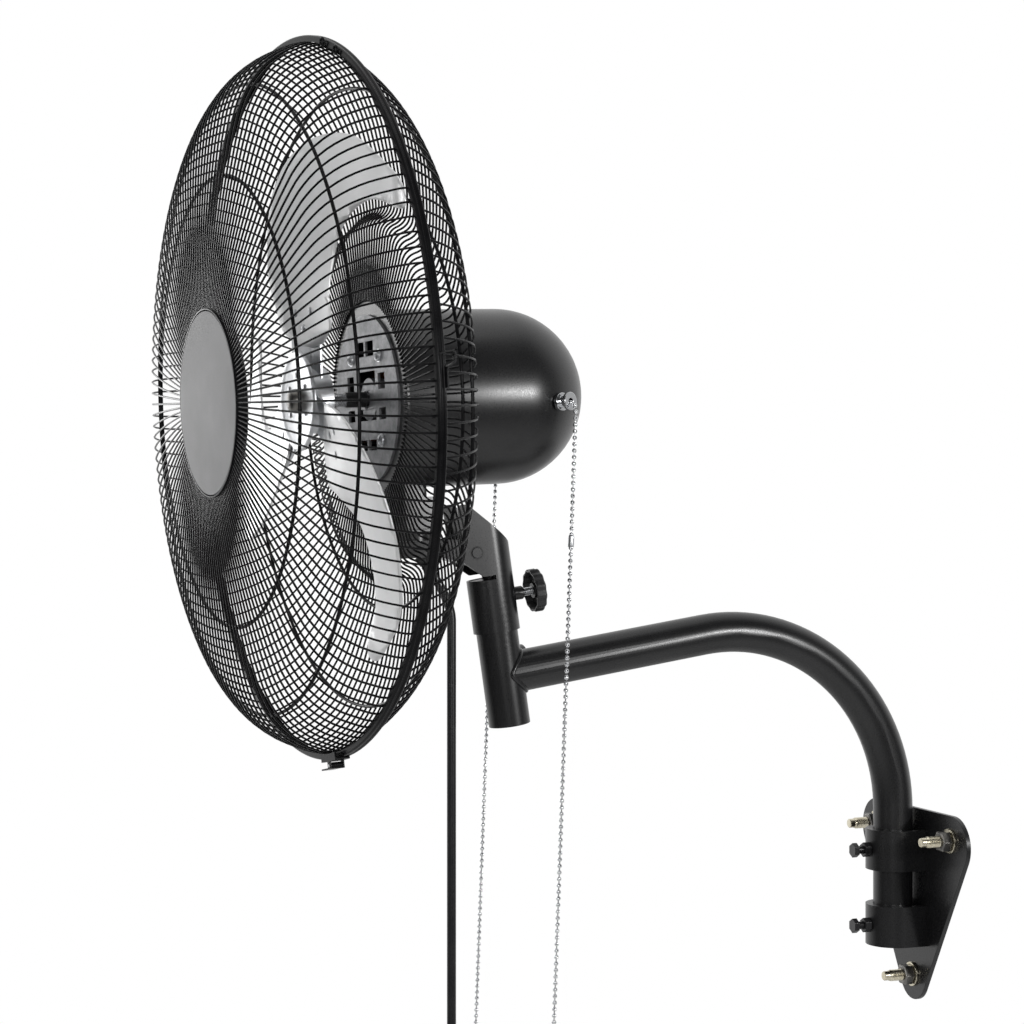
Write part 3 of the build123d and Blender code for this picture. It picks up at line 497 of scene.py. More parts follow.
# %% A tree: wires set round an axis
ring_of_wires = Tree("ring_of_wires", ("Line", "Object"), ("Wires", "Int"), ("Radius", "Float"),
                     ("Sides", "Int"), ("Finish", "Material"))
line = ring_of_wires.node("GeometryNodeObjectInfo", Object="Line")
section = ring_of_wires.node("GeometryNodeCurvePrimitiveCircle", Resolution="Sides", Radius="Radius")
wire = ring_of_wires.node("GeometryNodeCurveToMesh", Curve=line.outputs["Geometry"],
                          Profile_Curve=section.outputs[0], Fill_Caps=True)
places = ring_of_wires.node("GeometryNodePoints", Count="Wires")
index = ring_of_wires.node("GeometryNodeInputIndex")
share = ring_of_wires.node("ShaderNodeMath", {"operation": "DIVIDE"})
ring_of_wires.feed(share.inputs[0], index.outputs[0])
ring_of_wires.feed(share.inputs[1], "Wires")
angle = ring_of_wires.node("ShaderNodeMath", {"operation": "MULTIPLY"})
ring_of_wires.feed(angle.inputs[0], share.outputs[0])
ring_of_wires.feed(angle.inputs[1], 2 * pi)
turn = ring_of_wires.node("ShaderNodeCombineXYZ", Z=angle.outputs[0])
copies = ring_of_wires.node("GeometryNodeInstanceOnPoints", Points=places.outputs[0],
                            Instance=wire.outputs[0], Rotation=turn.outputs[0])
ring_of_wires.finish(copies.outputs[0])

# %% [markdown]
# ## The two wire guards
# Each guard is a dome of 148 thin wires.  A front wire starts in the hoop, rounds a shoulder
# and runs almost flat to the cup in the middle.  A rear wire does the same to the rear, drops
# towards the motor in a small S bend and ends welded to the ring at the motor's face.  One
# wire's line is drawn through points that were read at the guard's outline in the photograph,
# and the tree repeats it.  The rear guard is turned a little, so that its wires cross the
# front ones instead of hiding behind them.

# %% The wires
wire_count = 148
wire_r = 0.97
rear_turn = 1.2         # degrees
front_line = [(324.2, 1.6), (323.6, -4), (320.5, -12.5), (309, -34), (291, -51.5), (269, -62.5),
              (249, -67.5), (213, -73.5), (178, -78.2), (142, -82.2), (106, -85.2), (85.6, -86.4)]
rear_line = [(324.2, 2.6), (323.8, 6), (321, 13), (310, 31), (294, 47), (274, 58), (255, 66),
             (237, 71.3), (220, 76), (200, 80.8), (184, 82.8), (177, 82.2), (171.5, 78.4),
             (167, 71.4), (161.5, 68.2), (150, 67.7), (120, 67.6), (92, 67.5)]


def guard(name, points, turn):
    """A dome of equal wires on one line, turned by some degrees."""
    wires = {"Line": drawn(name, points), "Wires": wire_count, "Radius": wire_r * MM, "Sides": 6,
             "Finish": wire_coat}
    return grown(ring_of_wires, fan_axis @ turned(turn, "Z"), wires)


front = guard("front_line", front_line, 0)
rear = guard("rear_line", rear_line, rear_turn)
mounted("front_guard_dome", front, wire_coat, "motor_head", "front_guard_wires")
mounted("rear_guard_dome", rear, wire_coat, "motor_head", "rear_guard_wires")
print("guard triangles:", 2 * len(front.polygons), 2 * len(rear.polygons))

# %% [markdown]
# ## Turned pieces: the rings and the hoop
# Two thin rings cross the wires of each guard, and a hoop with two rolled beads, one for each
# guard, holds them together.  Such a ring could be a torus, but the hoop, the cup, the motor
# and the knob are round about an axis too.  So one helper turns any outline as a lathe does.


# %% A lathe
def lathe(outline, place, sides=96):
    """Turns a closed (radius, height) outline in mm about the Z axis of place."""
    work = bmesh.new()
    rings = []
    for radius, height in outline:
        count = sides if radius > 0 else 1
        angles = [2 * pi * k / sides for k in range(count)]
        rings.append([work.verts.new(mm(radius * cos(a), radius * sin(a), height)) for a in angles])
    for here, there in zip(rings, rings[1:] + rings[:1]):
        for k in range(sides):
            around = ((here, k), (here, k + 1), (there, k + 1), (there, k))
            corners = list(dict.fromkeys(row[j % len(row)] for row, j in around))
            if len(corners) > 2:
                work.faces.new(corners)
    bmesh.ops.recalc_face_normals(work, faces=work.faces)
    mesh = settled(work, "turned")
    mesh.transform(place)
    return smooth(mesh)


def joined(*meshes):
    """Several meshes as one."""
    work = bmesh.new()
    for mesh in meshes:
        work.from_mesh(mesh)
    return settled(work, "joined")


def across(outline):
    """How wide a turned outline is, in mm."""
    return 2 * max(radius for radius, height in outline)


def wire_section(radius, height, thick):
    """The outline of a round wire, thick mm in radius, for the lathe."""
    turns = [2 * pi * k / 8 for k in range(8)]
    return [(radius + thick * cos(a), height + thick * sin(a)) for a in turns]


# %% The rings across the wires
ring_thick = 1.6
for side, rings in {"front": [(286, -50.4), (205, -71.8)], "rear": [(285.8, 48.6), (198, 78.4)]}.items():
    sections = [wire_section(radius, height, ring_thick) for radius, height in rings]
    bent = [lathe(section, fan_axis, sides=200) for section in sections]
    mounted(side + "_guard_hoops", smooth(joined(*bent)), wire_coat, "motor_head", side + "_guard_rings")
    print(side, "rings:", len(rings))

# %% The hoop that holds the guards together
hoop_back = 3.0         # the hoop sits a little behind the joint of the two guards
bead_r, bead_side, bead_out = 1.8, 2.2, 329.2
bead_turns = [radians(a) for a in range(30, 181, 30)]
bead = [(bead_out + bead_r * sin(a), bead_side - bead_r * cos(a)) for a in bead_turns]
skin = bead[::-1] + [(radius, -height) for radius, height in bead]
channel = [(325.2, -4.2), (325.2, -3.3), (327.6, -3.0), (327.6, 3.0), (325.2, 3.3)]
hoop = [(radius, height + hoop_back) for radius, height in [(325.2, 4.2)] + skin + channel]
mounted("guard_channel", lathe(hoop, fan_axis, sides=240), wire_coat, "motor_head", "guard_hoop")
print("hoop", round(across(hoop)), "mm across")

# %% [markdown]
# ## Clips and eyelets
# The hoop is sprung shut by a hooked strip on the near side and by a lever clip at the bottom,
# and its split at the top is drawn together through two rolled eyelets.  The hook is a flat
# strip with a few bends.  It could be cut from a block, but it is bent as the real one is: a
# line in side view that is given a width and a thickness.


# %% Strips bent from sheet
def strip(points, width, thick, place):
    """A flat strip: a line of (x, z) points in mm swept width mm along Y, thick mm through."""
    work = bmesh.new()
    rims = []
    for side in (-0.5, 0.5):
        for k, point in enumerate(points):
            before, after = points[max(k - 1, 0)], points[min(k + 1, len(points) - 1)]
            way = Vector((after[0] - before[0], after[1] - before[1])).normalized()
            off = Vector((-way.y, way.x)) * thick * side
            rims.append([work.verts.new(mm(point[0] + off.x, y, point[1] + off.y))
                         for y in (-width / 2, width / 2)])
    low, high = rims[:len(points)], rims[len(points):]
    for skin in (low, high):
        for a, b in zip(skin, skin[1:]):
            work.faces.new((a[0], a[1], b[1], b[0]))
    for k in range(len(points) - 1):
        for y in (0, 1):
            work.faces.new((low[k][y], low[k + 1][y], high[k + 1][y], high[k][y]))
    for k in (0, -1):
        work.faces.new((low[k][0], low[k][1], high[k][1], high[k][0]))
    bmesh.ops.recalc_face_normals(work, faces=work.faces)
    mesh = settled(work, "strip")
    mesh.transform(place)
    return mesh


def on_hoop(degrees, out):
    """A place on the hoop, X outward and Z along it; 0 degrees is the near side, 90 the top."""
    return head @ turned(-degrees, "Y") @ placed(331 + out, 0, 0)


# %% The clips: the bottom one is the CAD's, and the near one is bent here
hook = [(0.4, 21), (5.8, 22.5), (11.2, 23.4), (13.2, 22.6), (13.9, 21), (13.9, 16.4), (13.2, 14),
        (11.2, 12.6), (8.5, 11.5), (7.2, 10.3), (6.5, 8), (6.5, -6)]
hooked = strip(hook, width=6, thick=1.5, place=on_hoop(0, 0.5) @ turned(90, "Z"))
clips = dressed("guard_clips", wire_coat, 0.35)
kept = bmesh.new()
kept.from_mesh(clips.data)
near_clip = [vert for vert in kept.verts if vert.co.x > 200 * MM]
bmesh.ops.delete(kept, geom=near_clip, context="VERTS")
kept.from_mesh(hooked)
kept.to_mesh(clips.data)
kept.free()
dressed("clip_lever", wire_coat, 0.35)
dressed("lever_pin", plated_steel, 0.2)
print("points in the hook's line:", len(hook))

# %% The eyelets
eyelets = []
for degrees in (70.5, 64.5):
    crosswise = on_hoop(degrees, -2.6) @ placed(0, -3.4, 0) @ turned(90, "X")
    eyelets.append(lathe(wire_section(3.6, 0, 1.1), crosswise, sides=24))
mounted("split_eyelets", smooth(joined(*eyelets)), wire_coat, "motor_head")
print("eyelets:", len(eyelets))

# %% [markdown]
# ## The cup in the middle
# The front wires end at a shallow pressed cup, and a plain grey disc lies in it, level with
# the rim.  A disc could be a squashed cylinder, but an outline also gives it the small step
# at its edge and a slightly crowned face.  Both are round about the fan's axis and turned.

# %% The cup and the plain disc
cup = [(85.8, -88), (85.8, -77.6), (85.2, -77), (62.2, -77), (62.2, -78.4), (83.6, -78.4), (84.2, -79),
       (84.2, -87.6), (84.6, -88.2), (85.4, -88.2)]
mounted("centre_cup", lathe(cup, fan_axis, sides=120), wire_coat, "motor_head", "badge_cup")
disc = [(0, -78.7), (82.4, -78.7), (83.6, -79.6), (83.6, -87.6), (83.1, -88.3), (60, -88.8), (0, -89.2)]
mounted("centre_disc", lathe(disc, fan_axis, sides=120), grey_paint, "motor_head", "badge_disc")
print("disc", across(disc), "mm across")

# %% [markdown]
# ## The blades
# Three aluminium paddles, hollow towards the room, are riveted to a pressed steel spider.  A
# blade is cut flat from sheet and then pressed, so it is made in that order: the plan, with
# its swept leading edge and the ear on its trailing side, is filled and cut into a 10 mm grid,
# then each point of the grid is moved on to the hollow.  A Solidify modifier gives the sheet
# its thickness.  Sculpting would give the same shape, but nobody could change it by a number.

# %% One blade's plan and its hollow
plan = [(-27, 62), (-41, 88), (-50.5, 120), (-50, 156), (-44, 184), (-30, 209), (-17, 222), (8, 234),
        (32, 239), (55, 239), (82, 235), (105, 226.5), (129, 212), (153, 196), (170, 184), (180, 170),
        (180, 158), (167, 157.5), (150, 164), (122, 171), (104, 170), (83, 163), (66.5, 150.5),
        (57, 137), (52.5, 119), (50, 91), (50.5, 62)]
blade_thick, blade_back, grid = 1.8, 8, 10
root_pitch, root_bend, root_end = 13, 290, 88       # pitch in degrees, bend as a radius in mm
tip_pitch, tip_bend, twist_length = 16, 900, 50


def sag(u, bend):
    """How far a chord bent to a radius falls, u mm from its middle."""
    return bend - (bend ** 2 - u ** 2) ** 0.5


def soft_step(x):
    """Rises from 0 to 1 without a corner at either end."""
    x = min(max(x, 0), 1)
    return x * x * (3 - 2 * x)


def hollow(u, pitch, bend):
    """A point of a pitched, bent chord, u mm from the blade's middle line."""
    return u * cos(pitch) + sag(u, bend) * sin(pitch), u * sin(pitch) - sag(u, bend) * cos(pitch)


# %% Cutting and pressing a blade
def blade_mesh(place):
    """The plan cut into a fine grid, then bent: steeper hollow at the root, flatter at the tip."""
    outline = plain_mesh("plan", drawn("plan", plan, closed=True, steps=4).data)
    work = bmesh.new()
    work.faces.new([work.verts.new(v.co) for v in outline.vertices])
    cuts = [(Vector((1, 0, 0)), level) for level in range(-50, 170, grid)]
    cuts += [(Vector((0, 0, 1)), level) for level in range(63, 253, grid)]
    for way, level in cuts:
        everything = work.verts[:] + work.edges[:] + work.faces[:]
        bmesh.ops.bisect_plane(work, geom=everything, plane_co=way * (level * MM), plane_no=way)
    for vert in work.verts:
        u, z = vert.co.x / MM, vert.co.z / MM
        tip = soft_step((z - root_end) / twist_length)
        root_x, root_t = hollow(u, radians(root_pitch), root_bend)
        tip_x, tip_t = hollow(u, radians(tip_pitch), tip_bend)
        vert.co = mm(root_x + tip * (tip_x - root_x), blade_back + root_t + tip * (tip_t - root_t), z)
    bmesh.ops.recalc_face_normals(work, faces=work.faces)
    mesh = settled(work, "blade")
    mesh.transform(place)
    return smooth(mesh, sharp=60)


# %% The three blades
blade_places = [head @ turned(120 * k, "Y") for k in range(3)]
for number, place in enumerate(blade_places, 1):
    blade = mounted(f"blade_{number}_swept", blade_mesh(place), aluminium, "rotor", f"blade_{number}")
    sheet = blade.modifiers.new("sheet", "SOLIDIFY")
    sheet.thickness = blade_thick * MM
    sheet.offset = 0
print("blades:", len(blade_places), "each of", len(blade.data.polygons), "faces before its thickness")

# %% [markdown]
# ## The hub
# The round hub plate in front of the spider has its own ring of rivets and a dark nut on the
# shaft's end, and a black sleeve sits on the shaft where it leaves the motor.  The spider is a
# pressing and keeps its CAD shape; the rest is turned.

# %% Spider, hub plate, nut and sleeve
dressed("blade_spider", plated_steel, 0.5)
hub = [(0, -1.4), (38, -1.4), (40, -1.8), (43, -2.6), (45, -2.2), (46, -0.8), (46, 0.4), (0, 0.4)]
mounted("hub_plate", lathe(hub, fan_axis), plated_steel, "rotor")
nut = [(0, -10.5), (5.5, -10.5), (9.2, -8.8), (10.8, -6), (11.4, -3.4), (11.4, -1.3), (0, -1.3)]
mounted("hub_nut", lathe(nut, fan_axis, sides=48), dark_zinc, "rotor")
sleeve = [(6.1, 45), (6.9, 45), (7.2, 45.4), (7.2, 65.6), (6.9, 66), (6.1, 66)]
mounted("shaft_sleeve", lathe(sleeve, fan_axis, sides=48), black_coat, "rotor")
print("hub plate", across(hub), "mm across")

# %% [markdown]
# ## Rivets, screws and weld spots
# Rivets hold the blades, screws hold the motor's face, and a small drop of weld fixes each
# rear wire to the motor's ring.  All are one round head set on many points, which is a second
# small tree.  The points are worked out from the pattern, so a changed count still fits.

# %% A tree: heads on chosen points
heads_on_points = Tree("heads_on_points", ("Points", "Object"), ("Head", "Object"),
                       ("Finish", "Material"))
spots = heads_on_points.node("GeometryNodeObjectInfo", Object="Points")
one = heads_on_points.node("GeometryNodeObjectInfo", Object="Head")
set_out = heads_on_points.node("GeometryNodeInstanceOnPoints", Points=spots.outputs["Geometry"],
                               Instance=one.outputs["Geometry"])
heads_on_points.finish(set_out.outputs[0])


def spots_at(points):
    """Bare points in mm for a tree to set things on."""
    mesh = bpy.data.meshes.new("spots")
    mesh.from_pydata([mm(*p) for p in points], [], [])
    return bpy.data.objects.new("spots", mesh)


def heads(outline, points, place, material, sides):
    """A turned head on each point."""
    pattern = bpy.data.objects.new("pattern", lathe(outline, Matrix.Identity(4), sides))
    values = {"Points": spots_at(points), "Head": pattern, "Finish": material}
    return smooth(grown(heads_on_points, place, values))


# %% The hub's rivets
rivet = [(0, -1.8), (2, -1.7), (3.6, -1.3), (4.6, -0.5), (4.9, 0.4), (0, 0.4)]
hub_ring, hub_front = 24, -1.4
small_rivet = [(0.6 * radius, 0.7 * height) for radius, height in rivet]
hub_turns = [radians(a) for a in range(30, 390, 60)]
hub_spots = [(hub_ring * cos(a), hub_ring * sin(a), hub_front) for a in hub_turns]
hub_heads = heads(small_rivet, hub_spots, fan_axis, plated_steel, sides=12)
mounted("hub_rivets", hub_heads, plated_steel, "rotor")
print("hub rivets:", len(hub_spots))

# %% The blades' rivets, with their heads in front and their tails behind
rivet_side, first_rivet, rivet_pair = 13, 67, 82
rivet_tail = [(2.2, 0), (2.2, 4.4), (3.4, 4.5), (3.2, 5.6), (0, 6)]
side_sag = sag(rivet_side, root_bend)
blade_spots = [(0, -first_rivet, 0)]
blade_spots += [(x, -rivet_pair, -side_sag) for x in (-rivet_side, rivet_side)]
blade_heads = []
for place in blade_places:
    pitched = place @ placed(0, blade_back, 0) @ turned(root_pitch, "Z") @ turned(-90, "X")
    blade_heads.append(heads(rivet, blade_spots, pitched, plated_steel, sides=14))
    blade_heads.append(heads(rivet_tail, blade_spots, pitched, plated_steel, sides=12))
mounted("rivet_heads", joined(*blade_heads), plated_steel, "rotor", "blade_rivets")
print("blade rivets:", len(blade_places) * len(blade_spots))

# %% The motor's screws and the weld spots
screw = [(0, -3.6), (1, -2.4), (2.2, -3.4), (3.8, -2.9), (4.9, -1.6), (5.1, -0.4), (6.2, -0.35),
         (6.2, 0.3), (0, 0.3)]
tie_side, tie_rise, face_front = 35, 39, 66.7
tie_spots = [(x, z, face_front) for x in (-tie_side, tie_side) for z in (-tie_rise, tie_rise)]
tie_heads = heads(screw, tie_spots, fan_axis, plated_steel, sides=20)
mounted("tie_screw_heads", tie_heads, plated_steel, "motor_head")
nugget = [(0, -1.3), (0.9, -1.1), (1.5, -0.3), (1.5, 0.8), (0, 1.2)]
weld_ring, weld_back = 92.6, 68.9
weld_turns = [2 * pi * (k + 0.5) / wire_count for k in range(wire_count)]
nugget_spots = [(weld_ring * cos(a), weld_ring * sin(a), weld_back) for a in weld_turns]
mounted("weld_spots", heads(nugget, nugget_spots, fan_axis, wire_coat, sides=7), wire_coat, "motor_head")
print("screws:", len(tie_spots), "weld spots:", len(nugget_spots))

# %% [markdown]
# ## The motor
# A drawn steel pot with a half-ball tail.  The CAD tail is turned in a few straight steps to
# keep it light, so a finer lathe makes the real curve, inside and out.  The pot's front end
# plate is a rough casting, and the gear case under it is a smooth one; both keep their CAD
# shape.  What is inside the pot is never seen whole, so it only gets its finishes.

# %% Shell and face
pot_r, pot_wall, ball_back = 84, 2.5, 198


def half_ball(radius):
    """A quarter circle from the pot's side to the tip of its tail."""
    turns = [radians(a) for a in range(0, 90, 5)]
    curve = [(radius * cos(a), ball_back + radius * sin(a)) for a in turns]
    return curve + [(0, ball_back + radius)]


inside_r = pot_r - pot_wall
shell = [(70, 72), (80, 72), (82.4, 72.7), (83.6, 74.2), (pot_r, 76)]
shell += half_ball(pot_r) + half_ball(inside_r)[::-1] + [(inside_r, 74.5), (70, 74.5)]
mounted("motor_pot", lathe(shell, fan_axis, sides=160), black_coat, "motor_head", "motor_shell")
dressed("motor_face", cast_metal, 0.7)
dressed("guard_mount_ring", black_coat, 0.4)
dressed("gear_case", black_coat, 1.4)
dressed("case_cover", black_coat, 0.6)
print("motor", across(shell), "mm across")


# %% Inside the motor
def coated(node, material):
    """Keeps a CAD node as it is and gives it a finish."""
    materials = frame["nodes"][node].data.materials
    materials.clear()
    materials.append(material)


inside = {
    "rear_plate": cast_metal, "stator_core": core_steel, "stator_windings": copper,
    "rotor_core": core_steel, "motor_shaft": bright_steel, "front_bearing": bright_steel,
    "rear_bearing": bright_steel, "tie_bolts": plated_steel, "capacitor": pale_plastic,
    "pull_switches": black_plastic,
}
for node, material in inside.items():
    coated(node, material)
print("inside the motor:", len(inside), "nodes")

# %% [markdown]
# ## Pull chains
# Two ball chains hang from bell-mouthed nozzles in the motor's tail.  The balls sit 6 mm apart
# on a fine wire.  An Array modifier along a curve would squeeze the balls in the bend, so a
# tree sets round ones on the line instead.  The chain is a free cord with a real length, so
# it follows its own NURBS line.

# %% A tree: balls on a line
ball_chain = Tree("ball_chain", ("Line", "Object"), ("Pitch", "Float"), ("Ball", "Float"),
                  ("Wire", "Float"), ("Finish", "Material"))
line = ball_chain.node("GeometryNodeObjectInfo", Object="Line")
even = ball_chain.node("GeometryNodeResampleCurve", {"mode": "LENGTH"}, Curve=line.outputs["Geometry"],
                       Length="Pitch")
ball = ball_chain.node("GeometryNodeMeshUVSphere", Segments=12, Rings=8, Radius="Ball")
balls = ball_chain.node("GeometryNodeInstanceOnPoints", Points=even.outputs[0], Instance=ball.outputs[0])
section = ball_chain.node("GeometryNodeCurvePrimitiveCircle", Resolution=5, Radius="Wire")
link = ball_chain.node("GeometryNodeCurveToMesh", Curve=even.outputs[0],
                       Profile_Curve=section.outputs[0], Fill_Caps=True)
both = ball_chain.node("GeometryNodeJoinGeometry")
ball_chain.group.links.new(balls.outputs[0], both.inputs[0])
ball_chain.group.links.new(link.outputs[0], both.inputs[0])
ball_chain.finish(both.outputs[0])

# %% The line of a chain
chain_root = Vector((0, 198, -9.5))
nozzle_start, nozzle_end, first_drop = 86, 104.5, 18.5
hang = Vector((0, -tan(radians(2.2)), -1))      # both chains lean a little towards the room


def along(start, direction):
    """A place whose Z axis points in a direction."""
    return Matrix.Translation(start) @ Vector(direction).to_track_quat("Z", "Y").to_matrix().to_4x4()


def chain_route(side, turn_back, end_height):
    """Out of its nozzle, over the lip and straight down."""
    out = Vector((side * cos(radians(turn_back)), sin(radians(turn_back)), 0))
    start = head @ ((chain_root + out * nozzle_start) * MM)
    corner = head @ ((chain_root + out * nozzle_end) * MM)
    end = corner + hang * (corner.z - end_height * MM)
    return [start, corner, corner + hang * first_drop * MM, end]


# %% The two chains and their handles
ball_d, ball_pitch, chain_wire = 4.5, 5.98, 0.6
grip = [(0, 0), (2.4, 0), (3.2, 0.8), (3.9, 3), (4.3, 11), (5.3, 23), (6.3, 28.5), (6.5, 30.5),
        (5.9, 31.8), (4.8, 32), (4.2, 30.8), (0, 30.2)]


def chain(which, route):
    """A ball chain on its route, with a bell handle that rides on the pull's body."""
    name, body = which + "_chain", which + "_pull"
    line = walk(name + "_line", route)
    start, corner, end = route[0], route[1], route[-1]
    guide = bpy.data.objects.new("guide", route_curve(name + "_guide", route))
    values = {"Line": guide, "Pitch": ball_pitch * MM, "Ball": ball_d / 2 * MM,
              "Wire": chain_wire * MM, "Finish": chrome}
    mesh = grown(ball_chain, Matrix.Identity(4), values)
    piece = shown(name + "_balls", mesh, chrome)
    bell = lathe(grip, along(end, hang), sides=40)
    handle = mounted(name + "_handle_bell", bell, black_plastic, body, name + "_handle")
    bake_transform(piece)
    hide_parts(name)
    print(name, "length", round(length_of(line), 3), "m, triangles", 2 * len(mesh.polygons))


near_route = chain_route(side=1, turn_back=22.3, end_height=-150)
chain("near", near_route)
chain("far", chain_route(side=-1, turn_back=26.5, end_height=-190))

# %% The near chain's coupling, and both nozzles
coupling = [(0, 0), (1.4, 0), (2.6, 0.8), (2.8, 1.6), (2.8, 10.4), (2.6, 11.2), (1.4, 12), (0, 12)]
coupling_height = 307 * MM
near_corner = near_route[1]
coupling_place = along(near_corner + hang * (near_corner.z - coupling_height), hang)
mounted("chain_coupling", lathe(coupling, coupling_place, sides=24), plated_steel, "near_pull")
dressed("chain_nozzles", chrome, 0.5)
print("coupling at", [round(x, 3) for x in coupling_place.translation])

# %% [markdown]
# ## Neck, bracket and arm
# The yoke clamps round the post, and the tilting bracket hangs on one bolt between its
# cheeks.  These are plain tubes, plates and pressings, and the CAD has their exact shape, so
# they only get rounded edges and the powder coat.  The tilt bolt's end gets the same black as
# painted shade: it stands for the dark hole round the bolt in the near cheek.

# %% The coated steelwork
# The black coat on tilt_bolt is painted shade: the bolt's end stands for the dark hole in the near cheek.
steelwork = {"neck_yoke": 0.5, "knob_boss": 0.3, "tilt_bracket": 1.0, "arm_tube": 0.3, "post_tube": 0.5,
             "post_stub": 0.5, "wall_plate": 0.7, "clamp_collars": 0.7, "tilt_bolt": 0.4}
for node, edge in steelwork.items():
    dressed(node, black_coat, edge)
dressed("swivel_pin", bright_steel, 0.4)
coated("pivot_bushes", soft_rubber)
print("coated steelwork:", len(steelwork), "nodes")

# %% [markdown]
# ## The hand knob and its screw
# The knob is a thin moulded cup with a fluted rim, and the clamp screw's thread shows between
# the knob and its boss.  A true helix would cost thousands of faces that nobody sees, so the
# thread is a zigzag that is turned like the rest.  The flutes are pressed into the turned cup
# by a cosine that fades towards the middle.


# %% The clamp screw
def thread(radius, depth, pitch, start, end):
    """A zigzag outline that reads as a screw thread, from start to end mm."""
    turns = int((end - start) / pitch)
    outline = [(0, start)]
    for k in range(turns):
        outline += [(radius - depth, start + k * pitch), (radius, start + (k + 0.5) * pitch)]
    return outline + [(radius - depth, end), (0, end)]


screw_line = neck @ placed(0, 0, 123.6) @ turned(-90, "X")
clamp_thread = thread(4, depth=0.55, pitch=1.25, start=20.3, end=47.2)
clamp_screw = lathe(clamp_thread, screw_line, sides=32)
mounted("clamp_thread", clamp_screw, plated_steel, "knob", "clamp_screw")
print("clamp screw faces:", len(clamp_screw.polygons))

# %% The fluted knob
knob_line = [(0, 41.5), (7.2, 41.5), (7.6, 46), (16.5, 46.2), (18.2, 40.2), (19, 39.3), (20.3, 39.4),
             (21, 40.4), (21, 47.6), (20, 49), (17, 49.6), (8, 50.2), (0, 50.4)]
flutes, flute_depth = 12, 0.028
flute_root, flute_fade = 15, 5
knob_mesh = lathe(knob_line, Matrix.Identity(4), sides=144)
for vert in knob_mesh.vertices:
    fade = min(max((vert.co.xy.length / MM - flute_root) / flute_fade, 0), 1)
    turn = atan2(vert.co.y, vert.co.x)
    vert.co.xy *= 1 - flute_depth * fade * (1 + cos(flutes * turn))
knob_mesh.transform(screw_line)
mounted("fluted_knob", knob_mesh, black_plastic, "knob", "clamp_knob")
print("knob", across(knob_line), "mm across,", flutes, "flutes")

# %% The set screws of the two clamp collars
for node, edge in {"collar_nuts": 0.5, "collar_screws": 0.4}.items():
    print(dressed(node, black_coat, edge).name)

# %% [markdown]
# ## The weld between arm and post
# Where the arm's end meets the post there is a thin bead of weld.  Its line is where two round
# tubes meet, which no drawn curve would follow.  So each point starts on the arm's skin and
# slides along the arm until it lies on the post's skin, and a tube follows those points.

# %% The weld
arm_r, seam_r, weld_r = 20, 20.2, 2.3
arm_end_height = 174.13
seam_steps = 40
to_neck = neck.inverted()
arm_slope = turned(9.05, "X").to_3x3()
arm_way, arm_side = arm_slope @ Vector((0, 1, 0)), arm_slope @ Vector((0, 0, 1))


def seam_point(around):
    """Where a line along the arm's skin meets the post, in the frame of the whole fan."""
    skin = (Vector((cos(around), 0, 0)) + arm_side * sin(around)) * arm_r * MM
    start = to_neck @ (mm(0, post_foot[1], arm_end_height) + skin)
    way = to_neck.to_3x3() @ arm_way
    flat, side = Vector(start.xy), Vector(way.xy)       # the post's frame has it round in X and Y
    short = flat.dot(flat) - (seam_r * MM) ** 2
    room = max((flat.dot(side)) ** 2 - side.dot(side) * short, 0)
    return neck @ (start + way * (room ** 0.5 - flat.dot(side)) / side.dot(side))


seam = [seam_point(2 * pi * k / seam_steps) for k in range(seam_steps + 1)]
weld = plain_mesh("weld", route_curve("weld_line", seam, weld_r * MM, 3))
mounted("arm_weld", smooth(weld, sharp=60), black_coat, "arm")
print("weld seam", round(length_of(seam), 3), "m long")

# %% [markdown]
# ## The strain relief
# A ribbed rubber sleeve lets the lead bend gently where it leaves the bracket.  Five ribs
# shrink towards the end, so a loop writes the outline and the lathe turns it.

# %% The strain relief
ribs, rib_pitch, rib_shrink = 5, 4, 0.3
relief = [(0, -1), (7.6, -1), (7.6, 1.4), (6.9, 2.2)]
for k in range(ribs):
    rib, foot = 6.9 - rib_shrink * k, rib_pitch * k
    relief += [(rib, 3 + foot), (rib - 1.1, 3.5 + foot), (rib - 1.1, 4.7 + foot), (rib - 0.2, 5.2 + foot)]
relief += [(5.4, 23.4), (4.9, 24), (0, 24)]
relief_mesh = lathe(relief, tilted @ along(relief_root * MM, relief_way), sides=32)
mounted("relief_sleeve", relief_mesh, soft_rubber, "tilt_bracket", "strain_relief")
print("strain relief points:", len(relief))

# %% [markdown]
# ## Wall anchors
# Three yellow zinc anchor studs hold the plate.  They belong to the wall fixing and not to the
# CAD frame, but the photograph shows them, so they ride on the wall bracket and stand in the
# holes that the record's mounts give.  A nut with its corners turned off is a lathe of six
# sides, whose outline slopes at both ends.

# %% Studs, washers and nuts
nut_flats, nut_height, nut_start = 19, 10.5, 7.6
flat_r = nut_flats / 2
corner_r = flat_r / cos(pi / 6)
nut_end = nut_start + nut_height
anchor_nut = [(0, nut_start), (flat_r, nut_start), (corner_r, nut_start + 0.9), (corner_r, nut_end - 1.2),
              (flat_r, nut_end), (0, nut_end)]
stud_thread = thread(5.8, depth=0.7, pitch=1.75, start=0.2, end=33)
stud = stud_thread[:-1] + [(4.7, 33.4), (4.7, 38.2), (4.2, 38.8), (0, 38.8)]
washer = [(6.4, 5.05), (12.1, 5.05), (12.35, 5.4), (12.35, 7.2), (12, 7.6), (6.4, 7.6)]
mounts = {mount["name"]: mount for mount in frame["record"]["mounts"]}
hole_side = mounts["wall_bolts"]["dims"]["spacing_x_mm"] / 2
low_hole = in_mm(mounts["lower_bolt"]["pos_m"])[2]
anchor_places = [placed(x, 0, z) @ turned(90, "X")
                 for x, z in ((hole_side, 0), (-hole_side, 0), (0, low_hole))]


def anchored(outline, sides):
    """The same turned piece on each of the three anchors."""
    return joined(*[lathe(outline, place, sides) for place in anchor_places])


